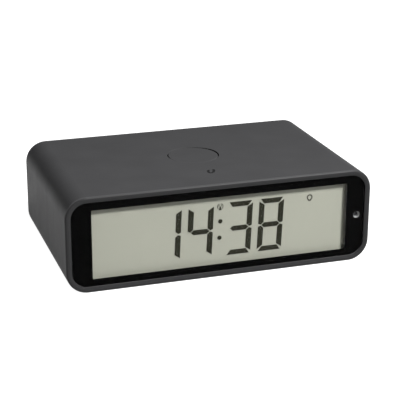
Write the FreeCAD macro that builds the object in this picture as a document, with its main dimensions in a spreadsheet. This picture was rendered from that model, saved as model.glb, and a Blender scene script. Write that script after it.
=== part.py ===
import FreeCAD, Part
import math
import os
import re

import Sketcher
from FreeCAD import Placement, Rotation, Vector

# A turn-over digital alarm clock, in millimetres. +X is to the viewer's right, -Y faces the
# viewer, +Z is up, and the origin is the middle of the bottom face.

DIMENSIONS = {
    # case
    "case_width": 110,
    "case_depth": 68,
    "case_height": 34,
    "corner_radius": 7.5,
    "front_edge": 0.8,
    "rim_slope": 0.8,
    "rim_slope_depth": 0.25,
    "rear_edge": 1.2,
    "wall": 2.0,
    "rim": 2.0,
    "fit_gap": 0.1,
    "ledge_width": 1.5,
    "ledge_depth": 1.5,
    "boss_radius": 3.6,
    "boss_across": 49.5,
    "boss_up": 11.5,
    "boss_length": 9.5,
    "boss_floor": 1.5,
    "pilot_radius": 0.85,
    # front window
    "lens_recess": 0.25,
    "lens_thickness": 0.5,
    "mask_thickness": 0.2,
    "gasket_thickness": 0.3,
    "window_width": 92.1,
    "window_across": 0.15,
    "window_height": 24.5,
    "window_drop": 0.2,
    "window_corner": 0.25,
    "lens_chamfer": 0.05,
    "sensor_across": 50.2,
    "sensor_hole": 1.25,
    "sensor_clearance": 0.6,
    "sensor_radius": 0.85,
    "sensor_length": 4.5,
    "sensor_sleeve_length": 4.6,
    # liquid crystal cell and what carries it
    "cell_setback": 0.3,
    "film_thickness": 0.2,
    "glass_thickness": 0.7,
    "cell_gap": 0.1,
    "glass_width": 96.4,
    "glass_height": 26.4,
    "rear_glass_width": 92.8,
    "guide_width": 92.4,
    "guide_height": 25.8,
    "guide_thickness": 2.0,
    "holder_width": 104,
    "holder_height": 28.8,
    "holder_depth": 4.0,
    "holder_corner": 5.0,
    "strip_across": 47.3,
    "strip_width": 1.4,
    "strip_height": 22.0,
    "strip_gap": 0.1,
    "lamp_pitch": 30.0,
    "lamp_width": 3.0,
    "lamp_height": 1.6,
    "lamp_depth": 1.1,
    "lamp_gap": 0.2,
    # main board and what stands on it
    "board_thickness": 1.0,
    "board_screw_across": 50.2,
    "board_screw_up": 9.2,
    "board_screw_head": 1.35,
    "board_screw_head_height": 0.8,
    "board_screw_shank": 0.6,
    "board_screw_length": 4.2,
    "chip_across": -12.0,
    "chip_foot": 5.4,
    "chip_crown": 3.2,
    "chip_height": 1.5,
    "crystal_across": -2.0,
    "crystal_up": 2.5,
    "crystal_radius": 1.0,
    "crystal_length": 6.0,
    "capacitor_first": -27.0,
    "capacitor_pitch": -7.0,
    "capacitor_radius": 2.5,
    "capacitor_length": 6.0,
    "can_across": 20.0,
    "can_standoff": 3.4,
    "can_drop": 5.0,
    "can_radius": 2.6,
    "can_bore": 2.0,
    "can_height": 9.4,
    "can_end": 0.6,
    "can_leg_radius": 0.35,
    "can_leg_length": 0.8,
    "ball_radius": 1.6,
    "ball_gap": 0.05,
    # digits
    "digit_height": 19.3,
    "digit_width": 9.1,
    "digit_pitch": 11.5,
    "digit_start": 7.1,
    "digit_shift": -0.38,
    "digit_drop": 0.55,
    "digit_slant": 2.5,
    "upright_stroke": 1.95,
    "level_stroke": 1.75,
    "segment_gap": 0.2,
    "upright_tip_cut": 0.74,
    "upright_root_cut": 0.3,
    "level_tip_cut": 0.25,
    "level_root_reach": 0.45,
    "colon_radius": 0.78,
    "colon_rise": 3.1,
    "colon_fall": 2.9,
    "icon_up": 7.65,
    "lamp_icon_across": 32.75,
    "mast_icon_across": -0.3,
    # keys on the top and bottom faces
    "key_radius": 9.0,
    "key_gap": 0.4,
    "key_recess": 0.15,
    "key_edge": 0.2,
    "key_thickness": 2.15,
    "flange_radius": 10.4,
    "flange_thickness": 1.0,
    "key_stem_radius": 2.2,
    "key_stem_length": 1.5,
    "key_board_width": 24.0,
    "switch_size": 6.0,
    "switch_height": 3.0,
    "switch_floor": 1.0,
    "plunger_radius": 1.7,
    "plunger_length": 1.6,
    "plunger_gap": 0.25,
    # inner chassis
    "chassis_width": 105.2,
    "chassis_height": 14.8,
    "chassis_wall": 2.0,
    "floor_thickness": 1.5,
    "board_opening": 82.0,
    "chassis_end_gap": 0.2,
    # radio receiver
    "antenna_first": 14.5,
    "antenna_along": 3.0,
    "antenna_length": 34.0,
    "antenna_radius": 3.5,
    "coil_first": 21.5,
    "coil_length": 20.0,
    "coil_radius": 4.6,
    "cradle_height": 4.6,
    "cradle_width": 3.0,
    "cradle_depth": 10.0,
    "receiver_across": -31.0,
    "receiver_width": 28.0,
    "receiver_depth": 18.0,
    "receiver_chip_height": 1.4,
    # rear cover
    "cover_recess": 0.5,
    "cover_thickness": 2.0,
    "cover_gap": 0.2,
    "cover_chamfer": 0.25,
    "cover_post_radius": 1.3,
    "cover_screw_head": 2.1,
    "cover_screw_head_height": 0.85,
    "cover_screw_shank": 0.8,
    "cover_screw_hole": 1.1,
    "counterbore_radius": 2.4,
    "counterbore_depth": 1.0,
    "rear_key_radius": 3.0,
    "rear_key_proud": 0.4,
    "rear_key_edge": 0.4,
    "rear_key_lip": 0.7,
    "rear_key_stem": 1.2,
    "rear_key_reach": 4.6,
    "rear_key_gap": 0.3,
    "rear_key_up": 7.0,
    "rear_key_pitch": 8.5,
    "rear_key_first": 16.0,
    "rear_board_depth": 8.0,
    "rear_board_width": 34.5,
    "rear_board_height": 13.2,
    "rear_board_up": 6.6,
    "rear_switch_height": 3.1,
    "rear_switch_well": 1.5,
    "buzzer_across": 28.75,
    "buzzer_drop": 6.6,
    "buzzer_radius": 6.8,
    "buzzer_wall": 1.2,
    "buzzer_height": 3.5,
    "buzzer_sheet": 0.2,
    "ceramic_radius": 4.4,
    "sound_hole": 0.7,
    "sound_ring": 3.2,
    # battery bay
    "bay_across": -18,
    "bay_width": 50,
    "bay_height": 22.5,
    "bay_depth": 11.0,
    "bay_wall": 1.2,
    "door_width": 51.6,
    "door_height": 24.1,
    "door_thickness": 1.5,
    "door_gap": 0.25,
    "door_corner": 1.35,
    "door_chamfer": 0.2,
    "nail_notch_inset": 4.2,
    "nail_notch_width": 3.2,
    "nail_notch_height": 10.0,
    "nail_notch_depth": 0.8,
    "battery_radius": 5.25,
    "battery_length": 43.7,
    "nub_length": 0.8,
    "nub_radius": 1.9,
    "contact_size": 7.0,
    "contact_thickness": 0.4,
    "leaf_thickness": 0.15,
    "leaf_height": 6.0,
    "wire_radius": 0.6,
    "wire_bend": 6.0,
}

# Places along the depth, counted from the middle of the case.
FRONT = "(-case_depth / 2)"
LENS_FRONT = f"({FRONT} + lens_recess)"
MASK_FRONT = f"({LENS_FRONT} + lens_thickness)"
GASKET_FRONT = f"({MASK_FRONT} + mask_thickness)"
LEDGE_FRONT = f"({GASKET_FRONT} + gasket_thickness)"
LEDGE_BACK = f"({LEDGE_FRONT} + ledge_depth)"
CELL_FRONT = f"({LEDGE_FRONT} + cell_setback)"
GLASS_FRONT = f"({CELL_FRONT} + film_thickness)"
CRYSTAL_FRONT = f"({GLASS_FRONT} + glass_thickness)"
REAR_GLASS_FRONT = f"({CRYSTAL_FRONT} + cell_gap)"
REFLECTOR_FRONT = f"({REAR_GLASS_FRONT} + glass_thickness)"
GUIDE_FRONT = f"({REFLECTOR_FRONT} + film_thickness)"
HOLDER_FRONT = f"({LEDGE_BACK} + fit_gap)"
BOARD_FRONT = f"({HOLDER_FRONT} + holder_depth)"
BOARD_BACK = f"({BOARD_FRONT} + board_thickness)"
COVER_OUT = "(case_depth / 2 - cover_recess)"
COVER_IN = f"({COVER_OUT} - cover_thickness)"
TRAY_FRONT = f"({COVER_IN} - bay_depth - bay_wall)"

# Places up the height.
MIDDLE = "(case_height / 2)"
KEY_TOP = "(case_height - key_recess)"
FLANGE_TOP = f"({KEY_TOP} - key_thickness)"
STEM_TOP = f"({FLANGE_TOP} - flange_thickness)"
STEM_FOOT = f"({STEM_TOP} - key_stem_length)"
CHASSIS_TOP = f"({MIDDLE} + chassis_height / 2)"
CHASSIS_FLOOR = f"({MIDDLE} - chassis_height / 2)"

# The bulkheads of the inner chassis, along the depth.
FRONT_BULKHEAD = (-13.0, -11.5)
REAR_BULKHEAD = (17.0, 18.5)

CORNERS = [(-1, -1), (1, -1), (1, 1), (-1, 1)]

# The lamps of the light guide, counted from the middle.
LAMP_COUNTS = (-1, 0, 1)

SEGMENTS_LIT = {"1": "bc", "3": "abcdg", "4": "bcfg", "8": "abcdefg"}
# Each lit digit, with the side of the colon it is on and its count outwards from the colon.
SHOWN_TIME = [("1", -1, 1), ("4", -1, 0), ("3", 1, 0), ("8", 1, 1)]

doc = FreeCAD.newDocument("turn_over_clock")
sheet = doc.addObject("Spreadsheet::Sheet", "dims")
for row, (alias, number) in enumerate(DIMENSIONS.items(), start=1):
    sheet.set(f"A{row}", alias)
    sheet.set(f"B{row}", str(number))
    sheet.setAlias(f"B{row}", alias)
doc.recompute()

ALIASES = re.compile(r"\b(" + "|".join(DIMENSIONS) + r")\b")


def size(alias):
    """Read one driving dimension from the sheet."""
    return float(sheet.get(alias))


def bind(thing, path, formula):
    """Tie a property of a document object to the sheet."""
    thing.setExpression(path, ALIASES.sub(r"dims.\1", str(formula)))


def bind_place(thing, place):
    """Tie the three coordinates of a placement to the sheet."""
    for axis, formula in zip("xyz", place):
        bind(thing, f"Placement.Base.{axis}", formula)


# --- simple solids -------------------------------------------------------------------------

TURNS = {
    "x": Rotation(Vector(0, 1, 0), 90),
    "y": Rotation(Vector(1, 0, 0), -90),
    "z": Rotation(),
}


def block(label, centre, extent):
    """A box centred across and up on centre, standing on centre's own value along the depth."""
    across, along, up = centre
    width, depth, height = extent
    thing = doc.addObject("Part::Box", label)
    bind(thing, "Length", width)
    bind(thing, "Width", depth)
    bind(thing, "Height", height)
    bind_place(thing, (f"{across} - ({width}) / 2", along, f"{up} - ({height}) / 2"))
    return thing


def rod(label, axis, base, radius, length):
    """A cylinder that grows from base along the named axis."""
    thing = doc.addObject("Part::Cylinder", label)
    thing.Placement = Placement(Vector(), TURNS[axis])
    bind(thing, "Radius", radius)
    bind(thing, "Height", length)
    bind_place(thing, base)
    return thing


def cut(label, base, tool):
    """The base less the tool."""
    thing = doc.addObject("Part::Cut", label)
    thing.Base = base
    thing.Tool = tool
    return thing


def fuse(label, pieces):
    """Several overlapping solids made one."""
    thing = doc.addObject("Part::MultiFuse", label)
    thing.Shapes = pieces
    return thing


def group(label, pieces):
    """Several separate solids kept under one label."""
    thing = doc.addObject("Part::Compound", label)
    thing.Links = pieces
    return thing


def tube(label, axis, base, outer, inner, length):
    """A cylinder with a cylindrical hole right through."""
    return cut(
        label,
        rod(f"{label}_outside", axis, base, outer, length),
        rod(f"{label}_bore", axis, base, inner, length),
    )


# --- bodies made from sketches ---------------------------------------------------------------

# The sense of each origin plane's own normal along the axis it crosses.
NORMALS = {"XZ_Plane": -1, "XY_Plane": 1}


def new_body(label):
    """An empty body with a label of its own."""
    body = doc.addObject("PartDesign::Body", f"{label}_body")
    body.Label = label
    return body


def sketch_on(body, role, across, up, along):
    """An empty sketch parallel to one of the body's origin planes."""
    plane = next(item for item in body.Origin.OriginFeatures if item.Role == role)
    sketch = body.newObject("Sketcher::SketchObject", "Sketch")
    sketch.AttachmentSupport = [(plane, "")]
    sketch.MapMode = "FlatFace"
    bind(sketch, "AttachmentOffset.Base.x", across)
    bind(sketch, "AttachmentOffset.Base.y", up)
    bind(sketch, "AttachmentOffset.Base.z", f"{NORMALS[role]} * ({along})")
    return sketch


def constrain(sketch, name, constraint, formula):
    """Add one named constraint and tie it to the sheet."""
    index = sketch.addConstraint(constraint)
    sketch.renameConstraint(index, name)
    bind(sketch, f"Constraints.{name}", formula)


def rounded(sketch, width, height, radius):
    """Draw a rectangle with round corners about the sketch's origin."""
    half_w, half_h, bend = 20.0, 10.0, 3.0
    corners = [
        ((-half_w + bend, -half_h), (half_w - bend, -half_h)),
        ((half_w, -half_h + bend), (half_w, half_h - bend)),
        ((half_w - bend, half_h), (-half_w + bend, half_h)),
        ((-half_w, half_h - bend), (-half_w, -half_h + bend)),
    ]
    lines = [
        sketch.addGeometry(Part.LineSegment(Vector(*start), Vector(*end)))
        for start, end in corners
    ]
    arcs = []
    for quarter, (side, rise) in enumerate(((1, -1), (1, 1), (-1, 1), (-1, -1))):
        centre = Vector(side * (half_w - bend), rise * (half_h - bend))
        start = math.radians(90 * (quarter - 1))
        circle = Part.Circle(centre, Vector(0, 0, 1), bend)
        arcs.append(sketch.addGeometry(Part.ArcOfCircle(circle, start, start + math.pi / 2)))
    joins = []
    for index in range(4):
        joins.append(Sketcher.Constraint("Tangent", lines[index], 2, arcs[index], 1))
        joins.append(Sketcher.Constraint("Tangent", arcs[index], 2, lines[(index + 1) % 4], 1))
    joins += [Sketcher.Constraint("Horizontal", lines[index]) for index in (0, 2)]
    joins += [Sketcher.Constraint("Vertical", lines[index]) for index in (1, 3)]
    joins += [Sketcher.Constraint("Equal", arcs[0], arcs[index]) for index in (1, 2, 3)]
    joins.append(Sketcher.Constraint("Symmetric", arcs[0], 3, arcs[2], 3, -1, 1))
    sketch.addConstraint(joins)
    spans = [
        ("breadth", Sketcher.Constraint("DistanceX", lines[3], 1, lines[1], 1, 2 * half_w), width),
        ("tallness", Sketcher.Constraint("DistanceY", lines[0], 1, lines[2], 1, 2 * half_h), height),
        ("bend", Sketcher.Constraint("Radius", arcs[0], bend), radius),
    ]
    for name, constraint, formula in spans:
        constrain(sketch, name, constraint, formula)
    return sketch


def rectangle(sketch, width, height):
    """Draw a sharp-cornered rectangle about the sketch's origin."""
    points = [Vector(20 * side, 10 * rise) for side, rise in CORNERS]
    lines = [
        sketch.addGeometry(Part.LineSegment(points[index], points[(index + 1) % 4]))
        for index in range(4)
    ]
    joins = [
        Sketcher.Constraint("Coincident", lines[index], 2, lines[(index + 1) % 4], 1)
        for index in range(4)
    ]
    joins += [Sketcher.Constraint("Horizontal", lines[index]) for index in (0, 2)]
    joins += [Sketcher.Constraint("Vertical", lines[index]) for index in (1, 3)]
    joins.append(Sketcher.Constraint("Symmetric", lines[0], 1, lines[2], 1, -1, 1))
    sketch.addConstraint(joins)
    constrain(sketch, "breadth", Sketcher.Constraint("DistanceX", lines[0], 1, lines[0], 2, 40), width)
    constrain(sketch, "tallness", Sketcher.Constraint("DistanceY", lines[1], 1, lines[1], 2, 20), height)
    return sketch


def circles(sketch, radius, centres):
    """Draw equal circles at the given centres."""
    for index, (across, up) in enumerate(centres):
        ring = sketch.addGeometry(Part.Circle(Vector(5 * index, 5), Vector(0, 0, 1), 1))
        constrain(sketch, f"round{index}", Sketcher.Constraint("Radius", ring, 1), radius)
        reach = Sketcher.Constraint("DistanceX", -1, 1, ring, 3, 5 * index)
        rise = Sketcher.Constraint("DistanceY", -1, 1, ring, 3, 5)
        constrain(sketch, f"across{index}", reach, across)
        constrain(sketch, f"up{index}", rise, up)
    return sketch


def pad(body, sketch, length):
    """Add material from the sketch towards +Y or +Z."""
    feature = body.newObject("PartDesign::Pad", "Pad")
    feature.Profile = sketch
    feature.Reversed = NORMALS[sketch.AttachmentSupport[0][0].Role] < 0
    bind(feature, "Length", length)
    doc.recompute()
    return feature


def pocket(body, sketch, depth, towards_plus):
    """Take material away from the sketch towards +Y or +Z, or the other way."""
    before = body.Shape.Volume
    feature = body.newObject("PartDesign::Pocket", "Pocket")
    feature.Profile = sketch
    feature.Reversed = towards_plus != (NORMALS[sketch.AttachmentSupport[0][0].Role] < 0)
    bind(feature, "Length", depth)
    doc.recompute()
    if body.Shape.Volume > before - 1e-3:
        raise RuntimeError(f"{body.Label}: {feature.Name} cuts nothing")
    return feature


def soften(body, kind, amount, chosen):
    """Fillet or chamfer the edges of the body's tip that chosen accepts."""
    tip = body.Tip
    names = [f"Edge{index}" for index, edge in enumerate(tip.Shape.Edges, 1) if chosen(edge)]
    feature = body.newObject(f"PartDesign::{kind}", kind)
    feature.Base = (tip, names)
    bind(feature, "Radius" if kind == "Fillet" else "Size", amount)
    doc.recompute()
    return feature


def at_depth(place):
    """A test for edges that lie wholly at one place along the depth."""
    return lambda edge: max(abs(edge.BoundBox.YMin - place), abs(edge.BoundBox.YMax - place)) < 1e-4


def at_height(place):
    """A test for edges that lie wholly at one height."""
    return lambda edge: max(abs(edge.BoundBox.ZMin - place), abs(edge.BoundBox.ZMax - place)) < 1e-4


def plate(label, along, thickness, width, height, radius):
    """A flat plate that faces front, with round corners, centred in the case."""
    body = new_body(label)
    outline = rounded(sketch_on(body, "XZ_Plane", 0, MIDDLE, along), width, height, radius)
    pad(body, outline, thickness)
    return body


# --- case and front window ---------------------------------------------------------------------


def within_rim(edge):
    """A test for the edges of the front opening, where the rim meets it."""
    box = edge.BoundBox
    reach = size("case_width") / 2 - size("rim") + 1e-3
    inside = max(abs(box.XMin), abs(box.XMax)) < reach and box.ZMin > size("rim") - 1e-3
    return inside and at_depth(-size("case_depth") / 2)(edge)


def slope_rim(body):
    """Slope the inner part of the rim down to the lens."""
    tip = body.Tip
    names = [f"Edge{index}" for index, edge in enumerate(tip.Shape.Edges, 1) if within_rim(edge)]
    feature = body.newObject("PartDesign::Chamfer", "Chamfer")
    feature.Base = (tip, names)
    feature.ChamferType = "Two distances"
    bind(feature, "Size", "rim_slope")
    bind(feature, "Size2", "rim_slope_depth")
    doc.recompute()
    return feature


def housing_sleeve():
    """The tube-like case: a rim and a ledge at the front, bosses at the rear, two key holes."""
    body = plate("housing_sleeve", FRONT, "case_depth", "case_width", "case_height", "corner_radius")
    soften(body, "Fillet", "front_edge", at_depth(-size("case_depth") / 2))
    soften(body, "Fillet", "rear_edge", at_depth(size("case_depth") / 2))
    hollows = [
        (FRONT, "rim", f"{LEDGE_FRONT} - {FRONT}"),
        (LEDGE_FRONT, "(rim + ledge_width)", "ledge_depth"),
        (LEDGE_BACK, "wall", f"case_depth / 2 - {LEDGE_BACK}"),
    ]
    for along, inset, depth in hollows:
        outline = rounded(
            sketch_on(body, "XZ_Plane", 0, MIDDLE, along),
            f"case_width - 2 * {inset}",
            f"case_height - 2 * {inset}",
            f"corner_radius - {inset}",
        )
        pocket(body, outline, depth, towards_plus=True)
        if along == FRONT:
            slope_rim(body)
    notch = sketch_on(body, "XZ_Plane", 0, MIDDLE, LEDGE_FRONT)
    pocket(body, circles(notch, "sensor_hole + sensor_clearance", [("sensor_across", 0)]), "ledge_depth", True)
    hole = sketch_on(body, "XY_Plane", 0, 0, "case_height")
    pocket(body, circles(hole, "key_radius + key_gap", [(0, 0)]), "case_height", False)
    places = [(f"{side} * boss_across", f"{rise} * boss_up") for side, rise in CORNERS]
    posts = sketch_on(body, "XZ_Plane", 0, MIDDLE, f"{COVER_IN} - boss_length")
    pad(body, circles(posts, "boss_radius", places), "boss_length")
    pilots = sketch_on(body, "XZ_Plane", 0, MIDDLE, COVER_IN)
    pocket(body, circles(pilots, "pilot_radius", places), "boss_length - boss_floor", False)
    return body


def front_lens():
    """The clear front panel, set a little below the rim."""
    body = plate(
        "front_lens",
        LENS_FRONT,
        "lens_thickness",
        "case_width - 2 * (rim + fit_gap)",
        "case_height - 2 * (rim + fit_gap)",
        "corner_radius - rim - fit_gap",
    )
    soften(body, "Chamfer", "lens_chamfer", at_depth(-size("case_depth") / 2 + size("lens_recess")))
    return body


def lens_mask():
    """The black print behind the lens, open at the display and at the light sensor."""
    body = plate(
        "lens_mask",
        MASK_FRONT,
        "mask_thickness",
        "case_width - 2 * (rim + fit_gap)",
        "case_height - 2 * (rim + fit_gap)",
        "corner_radius - rim - fit_gap",
    )
    window = sketch_on(body, "XZ_Plane", "window_across", f"{MIDDLE} - window_drop", MASK_FRONT)
    pocket(body, rounded(window, "window_width", "window_height", "window_corner"), "mask_thickness", True)
    hole = sketch_on(body, "XZ_Plane", 0, MIDDLE, MASK_FRONT)
    pocket(body, circles(hole, "sensor_hole", [("sensor_across", 0)]), "mask_thickness", True)
    return body


def lens_gasket():
    """The adhesive foam frame between the mask and the ledge."""
    body = plate(
        "lens_gasket",
        GASKET_FRONT,
        "gasket_thickness",
        "case_width - 2 * (rim + 2 * fit_gap)",
        "case_height - 2 * (rim + 2 * fit_gap)",
        "corner_radius - rim - 2 * fit_gap",
    )
    opening = rounded(
        sketch_on(body, "XZ_Plane", 0, MIDDLE, GASKET_FRONT),
        "case_width - 2 * (rim + ledge_width)",
        "case_height - 2 * (rim + ledge_width)",
        "corner_radius - rim - ledge_width",
    )
    pocket(body, opening, "gasket_thickness", True)
    notch = sketch_on(body, "XZ_Plane", 0, MIDDLE, GASKET_FRONT)
    pocket(body, circles(notch, "sensor_hole + sensor_clearance", [("sensor_across", 0)]), "gasket_thickness", True)
    return body


# --- display -------------------------------------------------------------------------------------


def lcd_layers():
    """The flat layers of the liquid crystal cell, from front to rear, and the light guide."""
    layers = [
        ("lcd_front_polariser", CELL_FRONT, "film_thickness", "glass_width", "glass_height"),
        ("lcd_front_glass", GLASS_FRONT, "glass_thickness", "glass_width", "glass_height"),
        ("lcd_rear_glass", REAR_GLASS_FRONT, "glass_thickness", "rear_glass_width", "glass_height"),
        ("lcd_reflector", REFLECTOR_FRONT, "film_thickness", "guide_width", "guide_height"),
        ("light_guide", GUIDE_FRONT, "guide_thickness", "guide_width", "guide_height"),
    ]
    return [
        block(label, (0, along, MIDDLE), (width, thickness, height))
        for label, along, thickness, width, height in layers
    ]


def lcd_seal():
    """The thin frame of glue that keeps the two glass plates apart."""
    outside = block("seal_outside", (0, CRYSTAL_FRONT, MIDDLE), ("rear_glass_width", "cell_gap", "glass_height"))
    inside = block(
        "seal_inside",
        (0, CRYSTAL_FRONT, MIDDLE),
        ("window_width + 0.2", "cell_gap", "window_height + 0.4"),
    )
    return cut("lcd_seal", outside, inside)


def segment_outlines():
    """The outline of each bar of a seven-bar digit, about the digit's own middle."""
    half_w = size("digit_width") / 2
    half_h = size("digit_height") / 2
    upright = size("upright_stroke")
    level = size("level_stroke")
    gap = size("segment_gap")
    root = size("level_root_reach")
    inner_w = half_w - upright
    inner_h = half_h - level
    upper_right = [
        (half_w, half_h - gap - size("upright_tip_cut")),
        (inner_w, inner_h - gap - size("upright_root_cut")),
        (inner_w, level / 2 + gap),
        (half_w - upright / 2, gap),
        (half_w, 3 * gap),
    ]
    top = [
        (-half_w + gap + size("level_tip_cut"), half_h),
        (half_w - gap - size("level_tip_cut"), half_h),
        (inner_w - gap + root, inner_h),
        (-inner_w + gap - root, inner_h),
    ]
    middle = [
        (-half_w + upright / 2 + gap, 0),
        (-inner_w + gap, level / 2),
        (inner_w - gap, level / 2),
        (half_w - upright / 2 - gap, 0),
        (inner_w - gap, -level / 2),
        (-inner_w + gap, -level / 2),
    ]
    return {
        "a": top,
        "b": upper_right,
        "c": [(across, -up) for across, up in upper_right],
        "d": [(across, -up) for across, up in top],
        "e": [(-across, -up) for across, up in upper_right],
        "f": [(-across, up) for across, up in upper_right],
        "g": middle,
    }


def crystal_depth():
    """Where the printed electrodes lie along the depth."""
    layers = ("lens_recess", "lens_thickness", "mask_thickness", "gasket_thickness")
    layers += ("cell_setback", "film_thickness", "glass_thickness")
    return -size("case_depth") / 2 + sum(size(layer) for layer in layers)


def flat_solid(points):
    """A solid as thick as the cell's gap, from a closed outline across and up."""
    place = crystal_depth()
    corners = [Vector(across, place, up) for across, up in points]
    face = Part.Face(Part.makePolygon(corners + corners[:1]))
    return face.extrude(Vector(0, size("cell_gap"), 0))


def disc_solid(across, up, radius):
    """A round dot as thick as the cell's gap."""
    return Part.makeCylinder(radius, size("cell_gap"), Vector(across, crystal_depth(), up), Vector(0, 1, 0))


def tapered(across, high, high_half, low, low_half):
    """A solid as thick as the cell's gap, its width changing evenly between two heights."""
    right = [(across + high_half, high), (across + low_half, low)]
    left = [(across - low_half, low), (across - high_half, high)]
    return flat_solid(right + left)


def placed_feature(label, shape):
    """A feature whose shape comes straight from solids."""
    thing = doc.addObject("Part::Feature", label)
    thing.Shape = shape
    thing.Placement = Placement()
    return thing


def lcd_segments():
    """The lit bars of the four digits and the two dots of the colon."""
    outlines = segment_outlines()
    slant = math.tan(math.radians(size("digit_slant")))
    middle = size("case_height") / 2 - size("digit_drop")
    bars = []
    for digit, side, count in SHOWN_TIME:
        across = size("digit_shift") + side * (size("digit_start") + count * size("digit_pitch"))
        for bar in SEGMENTS_LIT[digit]:
            points = [(across + x + slant * z, middle + z) for x, z in outlines[bar]]
            bars.append(flat_solid(points))
    for rise in (size("colon_rise"), -size("colon_fall")):
        across = size("digit_shift") + slant * rise
        bars.append(disc_solid(across, middle + rise, size("colon_radius")))
    return placed_feature("lcd_segments", Part.makeCompound(bars))


def lcd_icons():
    """A small lamp outline and a small mast, shown faintly beside the digits."""
    up = size("case_height") / 2 + size("icon_up")
    across = size("lamp_icon_across")
    bulb_up = up + 0.15
    outer = disc_solid(across, bulb_up, 1.05).fuse(tapered(across, up - 0.1, 1.0, up - 1.2, 0.35))
    inner = disc_solid(across, bulb_up, 0.72).fuse(tapered(across, up - 0.1, 0.66, up - 0.8, 0.15))
    lamp = outer.cut(inner)
    mast_across = size("mast_icon_across")
    ring_up, line, split = up + 0.3, 0.2, 0.5
    mast = tapered(mast_across, ring_up + 0.1, 0.15, ring_up - 1.3, 0.55)
    waves = []
    for outer in (0.65, 1.12):
        ring = disc_solid(mast_across, ring_up, outer).cut(disc_solid(mast_across, ring_up, outer - line))
        lower_gap = Vector(mast_across - 0.7, crystal_depth() - 0.4, ring_up - 2)
        upper_gap = Vector(mast_across - split / 2, crystal_depth() - 0.4, ring_up)
        ring = ring.cut(Part.makeBox(1.4, 1, 2, lower_gap))
        waves.append(ring.cut(Part.makeBox(split, 1, 2, upper_gap)))
    return placed_feature("lcd_icons", Part.makeCompound([lamp, mast] + waves))


def lcd_holder():
    """The white frame that carries the glass and the light guide."""
    body = plate("lcd_holder", HOLDER_FRONT, "holder_depth", "holder_width", "holder_height", "holder_corner")
    seat = sketch_on(body, "XZ_Plane", 0, MIDDLE, HOLDER_FRONT)
    pocket(
        body,
        rectangle(seat, "glass_width + 0.4", "glass_height + 0.2"),
        f"{GUIDE_FRONT} + guide_thickness - {HOLDER_FRONT}",
        True,
    )
    for side in (-1, 1):
        slot = sketch_on(body, "XZ_Plane", f"{side} * strip_across", MIDDLE, HOLDER_FRONT)
        opening = rectangle(slot, "strip_width + 2 * strip_gap", "strip_height + 2 * strip_gap")
        pocket(body, opening, "holder_depth", True)
    for count in LAMP_COUNTS:
        lamp = sketch_on(body, "XZ_Plane", f"{count} * lamp_pitch", MIDDLE, HOLDER_FRONT)
        opening = rectangle(lamp, "lamp_width + 2 * lamp_gap", "lamp_height + 2 * lamp_gap")
        pocket(body, opening, "holder_depth", True)
    notch = sketch_on(body, "XZ_Plane", "sensor_across + 0.4", MIDDLE, HOLDER_FRONT)
    pocket(body, rectangle(notch, 4.8, "2 * sensor_hole + 1.0"), "holder_depth", True)
    screws = sketch_on(body, "XZ_Plane", 0, MIDDLE, HOLDER_FRONT)
    places = [(f"{side} * board_screw_across", f"{rise} * board_screw_up") for side, rise in CORNERS]
    pocket(body, circles(screws, 0.65, places), "holder_depth", True)
    return body


def zebra_strips():
    """The two rubber contact strips between the glass and the main board."""
    reach = f"{BOARD_FRONT} - {CRYSTAL_FRONT}"
    strips = [
        block(
            f"strip_{index}",
            (f"{side} * strip_across", CRYSTAL_FRONT, MIDDLE),
            ("strip_width", reach, "strip_height"),
        )
        for index, side in enumerate((-1, 1))
    ]
    return group("zebra_strips", strips)


# --- main board ----------------------------------------------------------------------------------


def main_board():
    """The board behind the display."""
    body = plate("main_board", BOARD_FRONT, "board_thickness", "holder_width", "holder_height - 0.8", "holder_corner")
    holes = sketch_on(body, "XZ_Plane", 0, MIDDLE, BOARD_FRONT)
    places = [(f"{side} * board_screw_across", f"{rise} * board_screw_up") for side, rise in CORNERS]
    pocket(body, circles(holes, 0.75, places), "board_thickness", True)
    return body


def cross_head_screw(name, kind, place, shank_length):
    """A pan-head screw of one kind, with a cross recess and its shank towards the front."""
    across, along, up = place
    head_radius, head_height, shank_radius = f"{kind}_head", f"{kind}_head_height", f"{kind}_shank"
    head = rod(f"{name}_head", "y", (across, along, up), head_radius, head_height)
    shank = rod(
        f"{name}_shank",
        "y",
        (across, f"{along} - ({shank_length})", up),
        shank_radius,
        f"{shank_length} + 0.1",
    )
    whole = fuse(f"{name}_blank", [head, shank])
    arm = f"1.1 * {head_radius}"
    web = f"0.28 * {head_radius}"
    depth = f"0.6 * {head_height}"
    floor = f"{along} + 0.4 * {head_height}"
    recess = fuse(
        f"{name}_recess",
        [
            block(f"{name}_level", (across, floor, up), (arm, depth, web)),
            block(f"{name}_upright", (across, floor, up), (web, depth, arm)),
        ],
    )
    return cut(name, whole, recess)


def board_screws():
    """Four small screws through the main board into the display holder."""
    screws = []
    for index, (side, rise) in enumerate(CORNERS):
        place = (f"{side} * board_screw_across", BOARD_BACK, f"{MIDDLE} + {rise} * board_screw_up")
        screws.append(cross_head_screw(f"board_screw_{index}", "board_screw", place, "board_screw_length"))
    return group("board_screws", screws)


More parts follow.
